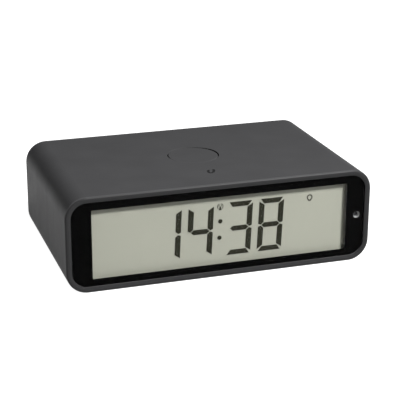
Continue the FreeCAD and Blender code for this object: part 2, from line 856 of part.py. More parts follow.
def board_parts():
    """What is soldered to the main board."""
    blob = doc.addObject("Part::Cone", "controller_chip")
    blob.Placement = Placement(Vector(), TURNS["y"])
    bind(blob, "Radius1", "chip_foot")
    bind(blob, "Radius2", "chip_crown")
    bind(blob, "Height", "chip_height")
    bind_place(blob, ("chip_across", BOARD_BACK, MIDDLE))
    crystal_place = ("crystal_across", f"{BOARD_BACK} + crystal_radius", f"{MIDDLE} + crystal_up")
    crystal = rod("quartz_crystal", "x", crystal_place, "crystal_radius", "crystal_length")
    cans = []
    for index in range(2):
        place = (f"capacitor_first + {index} * capacitor_pitch", BOARD_BACK, MIDDLE)
        cans.append(rod(f"capacitor_{index}", "y", place, "capacitor_radius", "capacitor_length"))
    capacitors = group("capacitors", cans)
    extent = ("lamp_width", "lamp_depth", "lamp_height")
    lamps = group(
        "backlight_leds",
        [
            block(f"lamp_{count + 1}", (f"{count} * lamp_pitch", f"{BOARD_FRONT} - lamp_depth", MIDDLE), extent)
            for count in LAMP_COUNTS
        ],
    )
    return [blob, crystal, capacitors, lamps]


def light_sensor():
    """The domed light sensor and the pale sleeve that brings light to it."""
    tip = ("sensor_across", f"{BOARD_FRONT} - sensor_length", MIDDLE)
    stem = rod("sensor_stem", "y", tip, "sensor_radius", "sensor_length")
    dome = doc.addObject("Part::Sphere", "sensor_dome")
    bind(dome, "Radius", "sensor_radius")
    bind_place(dome, tip)
    sensor = fuse("light_sensor", [stem, dome])
    place = ("sensor_across", GASKET_FRONT, MIDDLE)
    sleeve = tube("sensor_sleeve", "y", place, "sensor_hole + 0.3", "sensor_hole - 0.15", "sensor_sleeve_length")
    return [sensor, sleeve]


def tilt_switch():
    """A can with a loose steel ball that tells which way up the clock stands."""
    place = ("can_across", f"{BOARD_BACK} + can_standoff", f"{MIDDLE} - can_drop")
    across, along, foot = place
    blank = rod("can_blank", "z", place, "can_radius", "can_height")
    hollow = rod("can_hollow", "z", (across, along, f"{foot} + can_end"), "can_bore", "can_height")
    can = cut("tilt_switch_can", blank, hollow)
    cap = rod("tilt_switch_cap", "z", (across, along, f"{foot} + can_height"), "can_radius", "can_end")
    pins = [
        rod(f"leg_{index}", "y", (across, BOARD_BACK, f"{foot} + {rise}"), "can_leg_radius", "can_leg_length")
        for index, rise in enumerate((2, 8))
    ]
    legs = group("tilt_switch_legs", pins)
    ball = doc.addObject("Part::Sphere", "tilt_ball")
    bind(ball, "Radius", "ball_radius")
    bind_place(ball, (across, along, f"{foot} + can_end + ball_radius + ball_gap"))
    return [can, cap, legs, ball]


# --- chassis and keys ------------------------------------------------------------------------------


def inner_chassis():
    """The inner frame that is pushed in from the rear and holds the boards in place."""
    body = new_body("inner_chassis")
    length = f"({COVER_IN} - chassis_end_gap - {BOARD_BACK})"
    outline = rectangle(
        sketch_on(body, "XY_Plane", 0, f"{BOARD_BACK} + {length} / 2", CHASSIS_FLOOR),
        "chassis_width",
        length,
    )
    pad(body, outline, "chassis_height")
    bays = [
        (f"{BOARD_BACK} + chassis_wall", FRONT_BULKHEAD[0], "chassis_height - floor_thickness"),
        (FRONT_BULKHEAD[1], REAR_BULKHEAD[0], "chassis_height - floor_thickness"),
        (REAR_BULKHEAD[1], f"{COVER_IN} + 1", "chassis_height"),
    ]
    for start, end, depth in bays:
        bay = rectangle(
            sketch_on(body, "XY_Plane", 0, f"(({start}) + ({end})) / 2", CHASSIS_TOP),
            "chassis_width - 2 * chassis_wall",
            f"({end}) - ({start})",
        )
        pocket(body, bay, depth, False)
    opening = rectangle(
        sketch_on(body, "XZ_Plane", 0, MIDDLE, BOARD_BACK),
        "board_opening",
        "chassis_height - 2 * floor_thickness",
    )
    pocket(body, opening, "chassis_wall", True)
    return body


def slab(side, low, high):
    """The lower height of a layer, and its thickness, on the upper (1) or lower (-1) side."""
    start = low if side > 0 else f"case_height - ({high})"
    return start, f"({high}) - ({low})"


def press_key(label, side):
    """A round key with a flange behind the wall and a stem that meets its switch."""
    body = new_body(label)
    layers = [
        (FLANGE_TOP, KEY_TOP, "key_radius"),
        (STEM_TOP, FLANGE_TOP, "flange_radius"),
        (STEM_FOOT, STEM_TOP, "key_stem_radius"),
    ]
    for low, high, radius in layers:
        start, thickness = slab(side, low, high)
        pad(body, circles(sketch_on(body, "XY_Plane", 0, 0, start), radius, [(0, 0)]), thickness)
        if radius == "key_radius":
            face = size("case_height") - size("key_recess") if side > 0 else size("key_recess")
            soften(body, "Fillet", "key_edge", at_height(face))
    return body


def key_stack(name, side):
    """The board and the plunger under one of the two round keys."""
    start, thickness = slab(side, CHASSIS_TOP, f"{CHASSIS_TOP} + board_thickness")
    along = FRONT_BULKHEAD[0]
    board = block(
        f"{name}_key_board",
        (0, along, f"{start} + board_thickness / 2"),
        ("key_board_width", REAR_BULKHEAD[1] - along, thickness),
    )
    start, thickness = slab(side, f"{STEM_FOOT} - plunger_length", STEM_FOOT)
    plunger = rod(f"{name}_plunger", "z", (0, 0, start), "plunger_radius", thickness)
    return [board, plunger]


def key_switches():
    """The switch bodies under the two round keys."""
    switches = []
    for name, side in (("upper", 1), ("lower", -1)):
        base = f"{CHASSIS_TOP} + board_thickness"
        start, thickness = slab(side, base, f"{base} + switch_height")
        middle = f"{start} + switch_height / 2"
        case = block(f"{name}_switch_case", (0, "-switch_size / 2", middle), ("switch_size", "switch_size", thickness))
        start, thickness = slab(side, f"{base} + switch_floor", f"{base} + switch_height")
        well = rod(f"{name}_switch_well", "z", (0, 0, start), "plunger_radius + plunger_gap", thickness)
        switches.append(cut(f"{name}_switch", case, well))
    return group("key_switches", switches)


# --- radio receiver --------------------------------------------------------------------------------


def antenna():
    """A ferrite rod with its winding, held in two cradles on the chassis floor."""
    core = rod("antenna_core", "x", ("antenna_first", "antenna_along", MIDDLE), "antenna_radius", "antenna_length")
    coil_base = ("coil_first", "antenna_along", MIDDLE)
    coil = tube("antenna_coil", "x", coil_base, "coil_radius", "antenna_radius", "coil_length")
    floor = f"{CHASSIS_FLOOR} + floor_thickness"
    extent = ("cradle_width", "cradle_depth", "cradle_height")
    cradles = []
    for index, across in enumerate((18, 45)):
        base = (across, "antenna_along - cradle_depth / 2", f"{floor} + cradle_height / 2")
        foot = block(f"cradle_foot_{index}", base, extent)
        seat = rod(
            f"cradle_seat_{index}",
            "x",
            (f"{across} - cradle_width", "antenna_along", MIDDLE),
            "antenna_radius",
            "2 * cradle_width",
        )
        cradles.append(cut(f"cradle_{index}", foot, seat))
    return [core, coil, group("antenna_clips", cradles)]


def receiver():
    """The small radio board and its chip, on the chassis floor."""
    floor = f"{CHASSIS_FLOOR} + floor_thickness"
    board = block(
        "receiver_board",
        ("receiver_across", -6, f"{floor} + board_thickness / 2"),
        ("receiver_width", "receiver_depth", "board_thickness"),
    )
    chip_middle = f"{floor} + board_thickness + receiver_chip_height / 2"
    chip = block("receiver_chip", ("receiver_across", 0, chip_middle), (6, 5, "receiver_chip_height"))
    return [board, chip]


# --- rear cover and its keys -----------------------------------------------------------------------

REAR_KEYS = ("set_key", "plus_key", "minus_key", "light_key")
# Posts inside the rear cover that carry the rear key board: across, and up from the middle.
REAR_POSTS = [(12.6, 2.6), (28.75, 12.0), (43.6, 1.6)]
REAR_BOARD_FRONT = f"({COVER_IN} - rear_board_depth)"


def rear_key_across(index):
    """The place of one rear key across the case."""
    return f"(rear_key_first + {index} * rear_key_pitch)"


def rear_cover():
    """The rear wall, with the battery opening, key holes, sound holes and screw holes."""
    inset = "(wall + cover_gap)"
    body = plate(
        "rear_cover",
        COVER_IN,
        "cover_thickness",
        f"case_width - 2 * {inset}",
        f"case_height - 2 * {inset}",
        f"corner_radius - {inset}",
    )
    soften(body, "Chamfer", "cover_chamfer", at_depth(size("case_depth") / 2 - size("cover_recess")))
    recess = sketch_on(body, "XZ_Plane", "bay_across", MIDDLE, COVER_OUT)
    outline = rounded(recess, "door_width + 2 * door_gap", "door_height + 2 * door_gap", "door_corner + door_gap")
    pocket(body, outline, "door_thickness + fit_gap", False)
    opening = sketch_on(body, "XZ_Plane", "bay_across", MIDDLE, COVER_OUT)
    pocket(body, rounded(opening, "bay_width", "bay_height", 1.0), "cover_thickness", False)
    keys = sketch_on(body, "XZ_Plane", 0, f"{MIDDLE} + rear_key_up", COVER_OUT)
    places = [(rear_key_across(index), 0) for index in range(len(REAR_KEYS))]
    pocket(body, circles(keys, "rear_key_radius + rear_key_gap", places), "cover_thickness", False)
    corners = [(f"{side} * boss_across", f"{rise} * boss_up") for side, rise in CORNERS]
    for radius, depth in (("cover_screw_hole", "cover_thickness"), ("counterbore_radius", "counterbore_depth")):
        holes = sketch_on(body, "XZ_Plane", 0, MIDDLE, COVER_OUT)
        pocket(body, circles(holes, radius, corners), depth, False)
    posts = sketch_on(body, "XZ_Plane", 0, MIDDLE, f"{REAR_BOARD_FRONT} + board_thickness")
    pad(body, circles(posts, "cover_post_radius", REAR_POSTS), "rear_board_depth - board_thickness")
    centre = sketch_on(body, "XZ_Plane", "buzzer_across", f"{MIDDLE} - buzzer_drop", COVER_OUT)
    pocket(body, circles(centre, "sound_hole", [(0, 0)]), "cover_thickness", False)
    ring = sketch_on(body, "XZ_Plane", "buzzer_across", f"{MIDDLE} - buzzer_drop", COVER_OUT)
    first = pocket(body, circles(ring, "sound_hole", [("sound_ring", 0)]), "cover_thickness", False)
    pattern = body.newObject("PartDesign::PolarPattern", "SoundHoles")
    pattern.Originals = [first]
    pattern.Axis = (ring, ["N_Axis"])
    pattern.Angle = 360
    pattern.Occurrences = 6
    body.Tip = pattern
    doc.recompute()
    return body


def cover_screws():
    """Four screws through the rear cover into the case's bosses."""
    screws = []
    for index, (side, rise) in enumerate(CORNERS):
        place = (f"{side} * boss_across", f"{COVER_OUT} - counterbore_depth", f"{MIDDLE} + {rise} * boss_up")
        screws.append(cross_head_screw(f"cover_screw_{index}", "cover_screw", place, "cover_thickness + 5"))
    return group("cover_screws", screws)


def rear_keys():
    """Four small round keys with flanges inside the cover and stems into their switches."""
    keys = []
    up = f"{MIDDLE} + rear_key_up"
    for index, label in enumerate(REAR_KEYS):
        across = rear_key_across(index)
        body = new_body(label)
        layers = [
            (f"{COVER_IN} - rear_key_gap", "cover_thickness + rear_key_gap + rear_key_proud", "rear_key_radius"),
            (f"{COVER_IN} - 1.2", "1.2 - rear_key_gap", "rear_key_radius + rear_key_lip"),
            (f"{COVER_IN} - rear_key_reach", "rear_key_reach - 1.2", "rear_key_stem"),
        ]
        for along, thickness, radius in layers:
            pad(body, circles(sketch_on(body, "XZ_Plane", across, up, along), radius, [(0, 0)]), thickness)
            if radius == "rear_key_radius":
                face = size("case_depth") / 2 - size("cover_recess") + size("rear_key_proud")
                soften(body, "Fillet", "rear_key_edge", at_depth(face))
        keys.append(body)
    return keys


def rear_key_board():
    """The board behind the rear keys, with its four switches."""
    board = block(
        "rear_key_board",
        (28.25, REAR_BOARD_FRONT, f"{MIDDLE} + rear_board_up"),
        ("rear_board_width", "board_thickness", "rear_board_height"),
    )
    switches = []
    up = f"{MIDDLE} + rear_key_up"
    along = f"{REAR_BOARD_FRONT} + board_thickness"
    for index in range(len(REAR_KEYS)):
        across = rear_key_across(index)
        extent = ("switch_size", "rear_switch_height", "switch_size")
        case = block(f"rear_switch_case_{index}", (across, along, up), extent)
        base = (across, f"{along} + rear_switch_well", up)
        well = rod(f"rear_switch_well_{index}", "y", base, "rear_key_stem + 0.25", 2)
        switches.append(cut(f"rear_switch_{index}", case, well))
    return [board, group("rear_switches", switches)]


def buzzer():
    """The piezo sounder behind the sound holes."""
    up = f"{MIDDLE} - buzzer_drop"
    front = f"{COVER_IN} - buzzer_height"
    ring_base = ("buzzer_across", front, up)
    ring = tube("buzzer_ring", "y", ring_base, "buzzer_radius", "buzzer_radius - buzzer_wall", "buzzer_height")
    disc_base = ("buzzer_across", f"{front} - buzzer_sheet", up)
    disc = rod("buzzer_plate", "y", disc_base, "buzzer_radius - 0.2", "buzzer_sheet")
    ceramic_base = ("buzzer_across", f"{front} - 2 * buzzer_sheet", up)
    ceramic = rod("buzzer_ceramic", "y", ceramic_base, "ceramic_radius", "buzzer_sheet")
    return [ring, disc, ceramic]


# --- battery bay -----------------------------------------------------------------------------------


def battery_tray():
    """The open box behind the battery door."""
    body = new_body("battery_tray")
    outline = rectangle(
        sketch_on(body, "XZ_Plane", "bay_across", MIDDLE, TRAY_FRONT),
        "bay_width + 2 * bay_wall",
        "bay_height + 2 * bay_wall",
    )
    pad(body, outline, "bay_depth + bay_wall")
    hollow = rectangle(
        sketch_on(body, "XZ_Plane", "bay_across", MIDDLE, f"{TRAY_FRONT} + bay_wall"),
        "bay_width",
        "bay_height",
    )
    pocket(body, hollow, "bay_depth", True)
    return body


# The upper cell points right (1) and the lower one points left (-1).
CELLS = [(5.6, 1), (-5.6, -1)]


def battery_cells():
    """Two small round cells side by side, facing opposite ways."""
    cells = []
    along = f"{TRAY_FRONT} + bay_wall + battery_radius + 0.1"
    for index, (rise, way) in enumerate(CELLS):
        up = f"{MIDDLE} + {rise}"
        tip = f"(bay_across + {way} * (bay_width / 2 - contact_thickness))"
        shoulder = f"({tip} - {way} * nub_length)"
        start = f"{shoulder} - battery_length" if way > 0 else shoulder
        case = rod(f"cell_case_{index}", "x", (start, along, up), "battery_radius", "battery_length")
        nub_start = shoulder if way > 0 else tip
        nub = rod(f"cell_nub_{index}", "x", (nub_start, along, up), "nub_radius", "nub_length")
        cells.append(fuse(f"cell_{index}", [case, nub]))
    return group("battery_cells", cells)


def contact_plates():
    """The flat contacts that meet the cells' tips."""
    plates = []
    along = f"{TRAY_FRONT} + bay_wall + battery_radius - contact_size / 2"
    extent = ("contact_thickness", "contact_size", "contact_size")
    for index, (rise, way) in enumerate(CELLS):
        across = f"bay_across + {way} * (bay_width / 2 - contact_thickness / 2)"
        plates.append(block(f"contact_plate_{index}", (across, along, f"{MIDDLE} + {rise}"), extent))
    return group("contact_plates", plates)


def contact_leaves():
    """Two bent springs that press on the cells' flat ends."""
    strip = size("leaf_thickness")
    tall = size("leaf_height")
    depth = size("case_depth") / 2 - size("cover_recess") - size("cover_thickness") - size("bay_depth")
    along = depth + size("battery_radius") + 0.1
    room = size("bay_width") - size("contact_thickness") - size("nub_length") - size("battery_length")
    # Each bend, from the bay's end wall inwards and along the depth.
    bends = [(strip, -4), (strip, 4), (room - strip, 0.6), (1.2, -3.4)]
    leaves = []
    for rise, way in CELLS:
        wall = size("bay_across") - way * size("bay_width") / 2
        foot = size("case_height") / 2 + rise - tall / 2
        path = [Vector(wall + way * inward, along + deeper, foot) for inward, deeper in bends]
        face = Part.makePolygon(path).makeOffset2D(strip, join=0, fill=True, openResult=False)
        leaves.append(face.extrude(Vector(0, 0, tall)))
    return placed_feature("contact_leaves", Part.makeCompound(leaves))


def battery_wire(label, points):
    """A thin insulated wire along straight runs joined by tangent arcs."""
    radius = size("wire_radius")
    bend = size("wire_bend")
    edges = []
    start = points[0]
    for before, corner, after in zip(points, points[1:], points[2:]):
        back = (before - corner).normalize()
        ahead = (after - corner).normalize()
        half = back.getAngle(ahead) / 2
        reach = bend / math.tan(half)
        first = corner + back * reach
        last = corner + ahead * reach
        inward = (back + ahead).normalize()
        centre = corner + inward * (bend / math.sin(half))
        crown = centre - inward * bend
        edges.append(Part.LineSegment(start, first).toShape())
        edges.append(Part.Arc(first, crown, last).toShape())
        start = last
    edges.append(Part.LineSegment(start, points[-1]).toShape())
    path = Part.Wire(edges)
    ring = Part.Wire(Part.Circle(points[0], points[1] - points[0], radius).toShape())
    solid = path.makePipeShell([ring], True, True)
    expected = math.pi * radius**2 * path.Length
    if abs(solid.Volume / expected - 1) > 0.02:
        raise RuntimeError(f"{label}: volume {solid.Volume:.1f}, expected {expected:.1f}")
    return placed_feature(label, solid)


def battery_wires():
    """The two wires from the battery tray over the chassis to the main board."""
    tray = -size("bay_depth") - size("bay_wall") - size("cover_thickness") - size("cover_recess")
    rear = size("case_depth") / 2 + tray
    layers = ("lens_recess", "lens_thickness", "mask_thickness", "gasket_thickness", "ledge_depth")
    board = -size("case_depth") / 2 + sum(size(layer) for layer in layers) + size("fit_gap")
    board += size("holder_depth") + size("board_thickness")
    # Each wire leaves the tray and meets the board straight, over this length.
    lead = 14
    tray_up, board_up = 26.8, 27.6
    wires = []
    for label, start, end in (("battery_wire_red", -37, -31), ("battery_wire_black", -34, -27)):
        points = [
            Vector(start, rear, tray_up),
            Vector(start, rear - lead, tray_up),
            Vector(end, board + lead, board_up),
            Vector(end, board, board_up),
        ]
        wires.append(battery_wire(label, points))
    return wires


def battery_door():
    """The lid of the battery bay, with a fingernail notch at one end."""
    body = new_body("battery_door")
    outline = rounded(
        sketch_on(body, "XZ_Plane", "bay_across", MIDDLE, f"{COVER_OUT} - door_thickness"),
        "door_width",
        "door_height",
        "door_corner",
    )
    pad(body, outline, "door_thickness")
    soften(body, "Chamfer", "door_chamfer", at_depth(size("case_depth") / 2 - size("cover_recess")))
    notch = sketch_on(body, "XZ_Plane", "bay_across - door_width / 2 + nail_notch_inset", MIDDLE, COVER_OUT)
    outline = rounded(notch, "nail_notch_width", "nail_notch_height", "0.47 * nail_notch_width")
    pocket(body, outline, "nail_notch_depth", False)
    return body


# --- build, test and write ---------------------------------------------------------------------------


def build_nodes():
    """Every sub-part, in the order it is listed."""
    nodes = [housing_sleeve(), front_lens(), lens_mask(), lens_gasket()]
    nodes += lcd_layers()
    nodes += [lcd_seal(), lcd_segments(), lcd_icons(), lcd_holder(), zebra_strips()]
    nodes += [main_board(), board_screws()]
    nodes += board_parts()
    nodes += light_sensor()
    nodes += tilt_switch()
    nodes.append(inner_chassis())
    for name, side in (("upper", 1), ("lower", -1)):
        nodes.append(press_key(f"{name}_key", side))
        nodes += key_stack(name, side)
    nodes.append(key_switches())
    nodes += antenna()
    nodes += receiver()
    nodes += [rear_cover(), cover_screws()]
    nodes += rear_keys()
    nodes += rear_key_board()
    nodes += buzzer()
    nodes += [battery_tray(), battery_cells(), contact_plates(), contact_leaves()]
    nodes += battery_wires()
    nodes.append(battery_door())
    return nodes


def main():
    """Build the document, test every object and write one file for each sub-part."""
    nodes = build_nodes()
    doc.recompute()
    failed = [item.Name for item in doc.Objects if {"Invalid", "Error"} & set(item.State)]
    if failed:
        raise RuntimeError(f"failed objects: {failed}")
    for node in nodes:
        if node.Shape.isNull() or not node.Shape.isValid() or not node.Shape.Solids:
            raise RuntimeError(f"{node.Label}: no valid solid")
    os.makedirs("parts", exist_ok=True)
    for node in nodes:
        node.Shape.exportStep(f"parts/{node.Label}.step")
        box = node.Shape.BoundBox
        print(
            f"{node.Label:22s} {len(node.Shape.Solids):2d} {node.Shape.Volume:10.1f} "
            f"x {box.XMin:7.2f} {box.XMax:7.2f}  y {box.YMin:7.2f} {box.YMax:7.2f}  z {box.ZMin:6.2f} {box.ZMax:6.2f}"
        )
    print(len(nodes), "sub-parts")


main()
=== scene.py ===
import math

import bmesh
import bpy
import numpy as np
from bpy.props import FloatProperty, FloatVectorProperty, PointerProperty
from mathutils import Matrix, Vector


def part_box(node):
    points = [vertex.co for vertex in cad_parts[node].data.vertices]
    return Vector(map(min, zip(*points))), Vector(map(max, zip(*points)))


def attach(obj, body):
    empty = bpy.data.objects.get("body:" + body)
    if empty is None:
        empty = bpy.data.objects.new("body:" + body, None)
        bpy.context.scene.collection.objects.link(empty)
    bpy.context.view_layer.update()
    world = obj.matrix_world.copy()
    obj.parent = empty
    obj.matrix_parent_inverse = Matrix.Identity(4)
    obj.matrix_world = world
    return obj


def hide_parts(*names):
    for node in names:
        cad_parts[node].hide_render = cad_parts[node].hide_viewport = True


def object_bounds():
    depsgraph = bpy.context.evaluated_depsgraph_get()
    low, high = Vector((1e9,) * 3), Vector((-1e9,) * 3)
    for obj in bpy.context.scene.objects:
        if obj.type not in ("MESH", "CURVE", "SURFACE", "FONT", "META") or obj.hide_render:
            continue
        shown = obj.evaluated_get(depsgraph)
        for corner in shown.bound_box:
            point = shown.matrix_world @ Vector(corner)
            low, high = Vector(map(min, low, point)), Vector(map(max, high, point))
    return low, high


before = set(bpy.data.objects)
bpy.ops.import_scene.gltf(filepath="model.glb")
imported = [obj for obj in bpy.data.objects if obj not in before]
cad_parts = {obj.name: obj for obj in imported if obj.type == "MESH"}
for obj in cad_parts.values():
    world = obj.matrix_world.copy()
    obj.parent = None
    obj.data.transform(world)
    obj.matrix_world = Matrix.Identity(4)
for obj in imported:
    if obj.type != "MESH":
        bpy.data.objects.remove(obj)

bl_info = {
    "name": "Turn-over Clock Finishes",
    "version": (1, 0, 0),
    "blender": (4, 5, 0),
    "location": "3D View > Sidebar > Clock",
    "description": "Finishes, fine pieces and studio for a turn-over digital alarm clock",
    "category": "Object",
}

MM = 0.001
WHITE = (1.0, 1.0, 1.0, 1.0)
DUST = (0.35, 0.34, 0.33, 1.0)
SOLIDS_BOX = [list(corner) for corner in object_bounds()]


# --- settings -----------------------------------------------------------------------------------


def shade(name, description, default):
    """A colour setting without alpha."""
    return FloatVectorProperty(
        name=name, description=description, subtype="COLOR", size=3, min=0, max=1, default=default
    )


def length(name, description, default):
    """A length setting, its default in millimetres."""
    return FloatProperty(
        name=name, description=description, default=default * MM, min=0, precision=5, subtype="DISTANCE",
        unit="LENGTH",
    )


def angle(name, description, default):
    """An angle setting, its default in degrees."""
    return FloatProperty(name=name, description=description, default=math.radians(default), subtype="ANGLE")


def strength(name, description, default, unit="NONE"):
    """A setting for how strong a light is."""
    return FloatProperty(name=name, description=description, default=default, min=0, unit=unit)


class ClockCaseSettings(bpy.types.PropertyGroup):
    """Colours and finish of the moulded case."""

    sleeve: shade("Sleeve", "Soft-touch coating of the sleeve and its keys", (0.050, 0.050, 0.0515))
    cover: shade("Cover", "Moulded plastic of the rear cover and its door", (0.030, 0.030, 0.031))
    marks: shade("Marks", "Ink of the small marks on the coating", (0.016, 0.016, 0.0165))
    pale_marks: shade("Pale marks", "Ink of the small marks on the rear cover", (0.42, 0.42, 0.42))
    roughness: FloatProperty(
        name="Roughness", description="Roughness of the coating", default=0.46, min=0, max=1, subtype="FACTOR"
    )
    wear_width: length("Wear width", "How far the rubbed band reaches from an edge", 0.35)
    mark_stroke: length("Mark stroke", "Line width of the marks on the coating", 0.9)
    mark_height: length("Mark height", "Thickness of the ink on the coating", 0.02)


class ClockDisplaySettings(bpy.types.PropertyGroup):
    """Colours of the display and its window."""

    ground: shade("Ground", "Unlit ground of the liquid crystal", (0.237, 0.241, 0.206))
    ink: shade("Segments", "Dark segments of the digits", (0.014, 0.014, 0.009))
    icons: shade("Icons", "Icons beside the digits", (0.018, 0.018, 0.012))
    mask: shade("Mask", "Print behind the clear panel", (0.0010, 0.0010, 0.0010))
    panel_index: FloatProperty(
        name="Panel index", description="Refractive index that sets how much the panel mirrors",
        default=1.07, min=1,
    )


class ClockStageSettings(bpy.types.PropertyGroup):
    """Camera and light of the studio."""

    turn: angle("Turn", "How far the camera stands round to the clock's left", 18.152)
    tilt: angle("Tilt", "How far the camera looks down", 19.577)
    roll: angle("Roll", "How far the camera is rolled", 0.17)
    distance: length("Distance", "From the camera to the point it aims at", 465.87)
    beside: length("Aim beside", "How far the camera aims to the right of the clock's middle", 2.59)
    below: length("Aim below", "How far the camera aims below the clock's middle", 0.35)
    lens: FloatProperty(
        name="Lens", description="Focal length in millimetres", default=114.45, min=1, unit="CAMERA"
    )
    key_power: strength("Key light", "Power of the key light", 24.0, "POWER")
    fill_power: strength("Fill light", "Power of the low light at the left", 1.2, "POWER")
    light_distance: length("Light distance", "From each light to the clock's middle", 1000.0)
    key_breadth: length("Key breadth", "Side of the square key light", 230.0)
    table_glow: strength("Table glow", "Light given out by the table", 1.0)
    ambient: strength("Ambient", "Strength of the surroundings", 0.02)


# --- shader building blocks ---------------------------------------------------------------------


def node(tree, kind, inputs=None, **settings):
    """Add a shader node, with each input set to a value or joined to a socket."""
    made = tree.nodes.new(kind)
    for key, value in settings.items():
        setattr(made, key, value)
    for key, value in (inputs or {}).items():
        if isinstance(value, bpy.types.NodeSocket):
            tree.links.new(value, made.inputs[key])
        else:
            made.inputs[key].default_value = value
    return made


def object_place(tree):
    """Each point's place in the object's own coordinates."""
    return node(tree, "ShaderNodeTexCoord").outputs["Object"]


def calculate(tree, operation, first, second):
    """The output of one Math node."""
    return node(tree, "ShaderNodeMath", {0: first, 1: second}, operation=operation).outputs[0]


def weighted_sum(tree, first, first_weight, second, second_weight):
    """Two values times their weights, added up."""
    return calculate(tree, "ADD", calculate(tree, "MULTIPLY", first, first_weight),
                     calculate(tree, "MULTIPLY", second, second_weight))


def remap(tree, value, low, high, new_low, new_high):
    """The output of a clamped Map Range node."""
    limits = {"Value": value, "From Min": low, "From Max": high, "To Min": new_low, "To Max": new_high}
    return node(tree, "ShaderNodeMapRange", limits).outputs[0]


def noise(tree, place, scale, detail, roughness=0.5):
    """The value of a Noise Texture node."""
    inputs = {"Vector": place, "Scale": scale, "Detail": detail, "Roughness": roughness}
    return node(tree, "ShaderNodeTexNoise", inputs).outputs[0]


def blend_colours(tree, share, first, second):
    """The colour output of a Mix node."""
    return node(tree, "ShaderNodeMix", {0: share, 6: first, 7: second}, data_type="RGBA").outputs[2]


def bump(tree, strength_of, depth, height):
    """The normal of a Bump node, its depth in millimetres."""
    settings = {"Strength": strength_of, "Distance": depth * MM, "Height": height}
    return node(tree, "ShaderNodeBump", settings).outputs[0]


def finish_surface(tree, end, inputs):
    """Add the Principled shader and join it to the material's output."""
    shader = node(tree, "ShaderNodeBsdfPrincipled", inputs)
    tree.links.new(shader.outputs[0], end.inputs["Surface"])


def finish_mixed_surface(tree, end, share, first, second):
    """Join the mix of two shaders to the material's output."""
    mixed = node(tree, "ShaderNodeMixShader", {0: share, 1: first.outputs[0], 2: second.outputs[0]})
    tree.links.new(mixed.outputs[0], end.inputs["Surface"])


def shader_group(name, inputs, outputs):
    """An empty shader group with named number sockets, and its two end nodes."""
    tree = bpy.data.node_groups.new(name, "ShaderNodeTree")
    for label, default in inputs:
        socket = tree.interface.new_socket(name=label, in_out="INPUT", socket_type="NodeSocketFloat")
        socket.default_value = default
    for label in outputs:
        tree.interface.new_socket(name=label, in_out="OUTPUT", socket_type="NodeSocketFloat")
    return tree, tree.nodes.new("NodeGroupInput"), tree.nodes.new("NodeGroupOutput")


def build_grain_group():
    """Moulded grain: the sum of a fine noise and of round cells, with a slow shade of its own."""
    tree, start, end = shader_group("moulded_grain", [("Grains per metre", 3000.0)], ["Height", "Shade"])
    place = object_place(tree)
    pitch = start.outputs["Grains per metre"]
    fine = noise(tree, place, pitch, 3.0, 0.6)
    cells = node(tree, "ShaderNodeTexVoronoi", {"Vector": place, "Scale": pitch}, feature="SMOOTH_F1")
    slow = noise(tree, place, 60.0, 4.0, 0.55)
    height = weighted_sum(tree, fine, 0.6, cells.outputs["Distance"], 0.4)
    tree.links.new(height, end.inputs["Height"])
    tree.links.new(remap(tree, slow, 0.3, 0.7, 0.0, 1.0), end.inputs["Shade"])
    return tree


def build_wear_group():
    """Edge wear: grows as the true normal and a bevelled one draw apart, broken up by noise."""
    tree, start, end = shader_group("edge_wear", [("Width", 0.3 * MM)], ["Worn"])
    eased = node(tree, "ShaderNodeBevel", {"Radius": start.outputs["Width"]}, samples=6)
    true = node(tree, "ShaderNodeNewGeometry").outputs["Normal"]
    cosine = node(tree, "ShaderNodeVectorMath", {0: eased.outputs[0], 1: true}, operation="DOT_PRODUCT")
    bend = remap(tree, cosine.outputs["Value"], 0.995, 0.80, 0.0, 1.0)
    patches = noise(tree, object_place(tree), 350.0, 5.0)
    worn = calculate(tree, "MULTIPLY", bend, remap(tree, patches, 0.35, 0.65, 0.15, 1.0))
    tree.links.new(worn, end.inputs["Worn"])
    return tree


def build_handling_group():
    """Handling: faint smears, stretched noise that changes how much a surface shines."""
    tree, start, end = shader_group("handling", [("Smears per metre", 45.0)], ["Haze"])
    slanted = node(tree, "ShaderNodeMapping", {
        "Vector": object_place(tree),
        "Rotation": (0.3, 0.5, 0.6),
        "Scale": (1.0, 2.4, 1.0),
    })
    smears = node(tree, "ShaderNodeTexNoise", {
        "Vector": slanted.outputs[0],
        "Scale": start.outputs["Smears per metre"],
        "Detail": 6.0,
        "Roughness": 0.65,
        "Distortion": 0.6,
    })
    tree.links.new(remap(tree, smears.outputs[0], 0.35, 0.75, 0.0, 1.0), end.inputs["Haze"])
    return tree


def build_dust_group():
    """Dust: the near parts of scattered cells, thinned out by a second noise."""
    tree, start, end = shader_group("dust", [("Specks per metre", 900.0)], ["Specks"])
    place = object_place(tree)
    cells = node(tree, "ShaderNodeTexVoronoi", {"Vector": place, "Scale": start.outputs["Specks per metre"]})
    near = remap(tree, cells.outputs["Distance"], 0.05, 0.12, 1.0, 0.0)
    few = noise(tree, place, 700.0, 0.0)
    specks = calculate(tree, "MULTIPLY", near, remap(tree, few, 0.60, 0.66, 0.0, 1.0))
    tree.links.new(specks, end.inputs["Specks"])
    return tree


GROUP_BUILDERS = {
    "moulded_grain": build_grain_group,
    "edge_wear": build_wear_group,
    "handling": build_handling_group,
    "dust": build_dust_group,
}


def use_group(tree, name, **values):
    """Place one of the shared groups in a material, building it the first time."""
    shared = bpy.data.node_groups.get(name) or GROUP_BUILDERS[name]()
    placed = node(tree, "ShaderNodeGroup", node_tree=shared)
    for label, value in values.items():
        placed.inputs[label.replace("_", " ")].default_value = value
    return placed.outputs


def new_material(name):
    """A material with only its output, and its tree."""
    material = bpy.data.materials.new(name)
    material.use_nodes = True
    tree = material.node_tree
    tree.nodes.clear()
    return material, tree, node(tree, "ShaderNodeOutputMaterial")


def four(shade_of, lighter=1.0):
    """A colour with alpha, made lighter by a factor."""
    return tuple(min(1.0, part * lighter) for part in shade_of) + (1.0,)


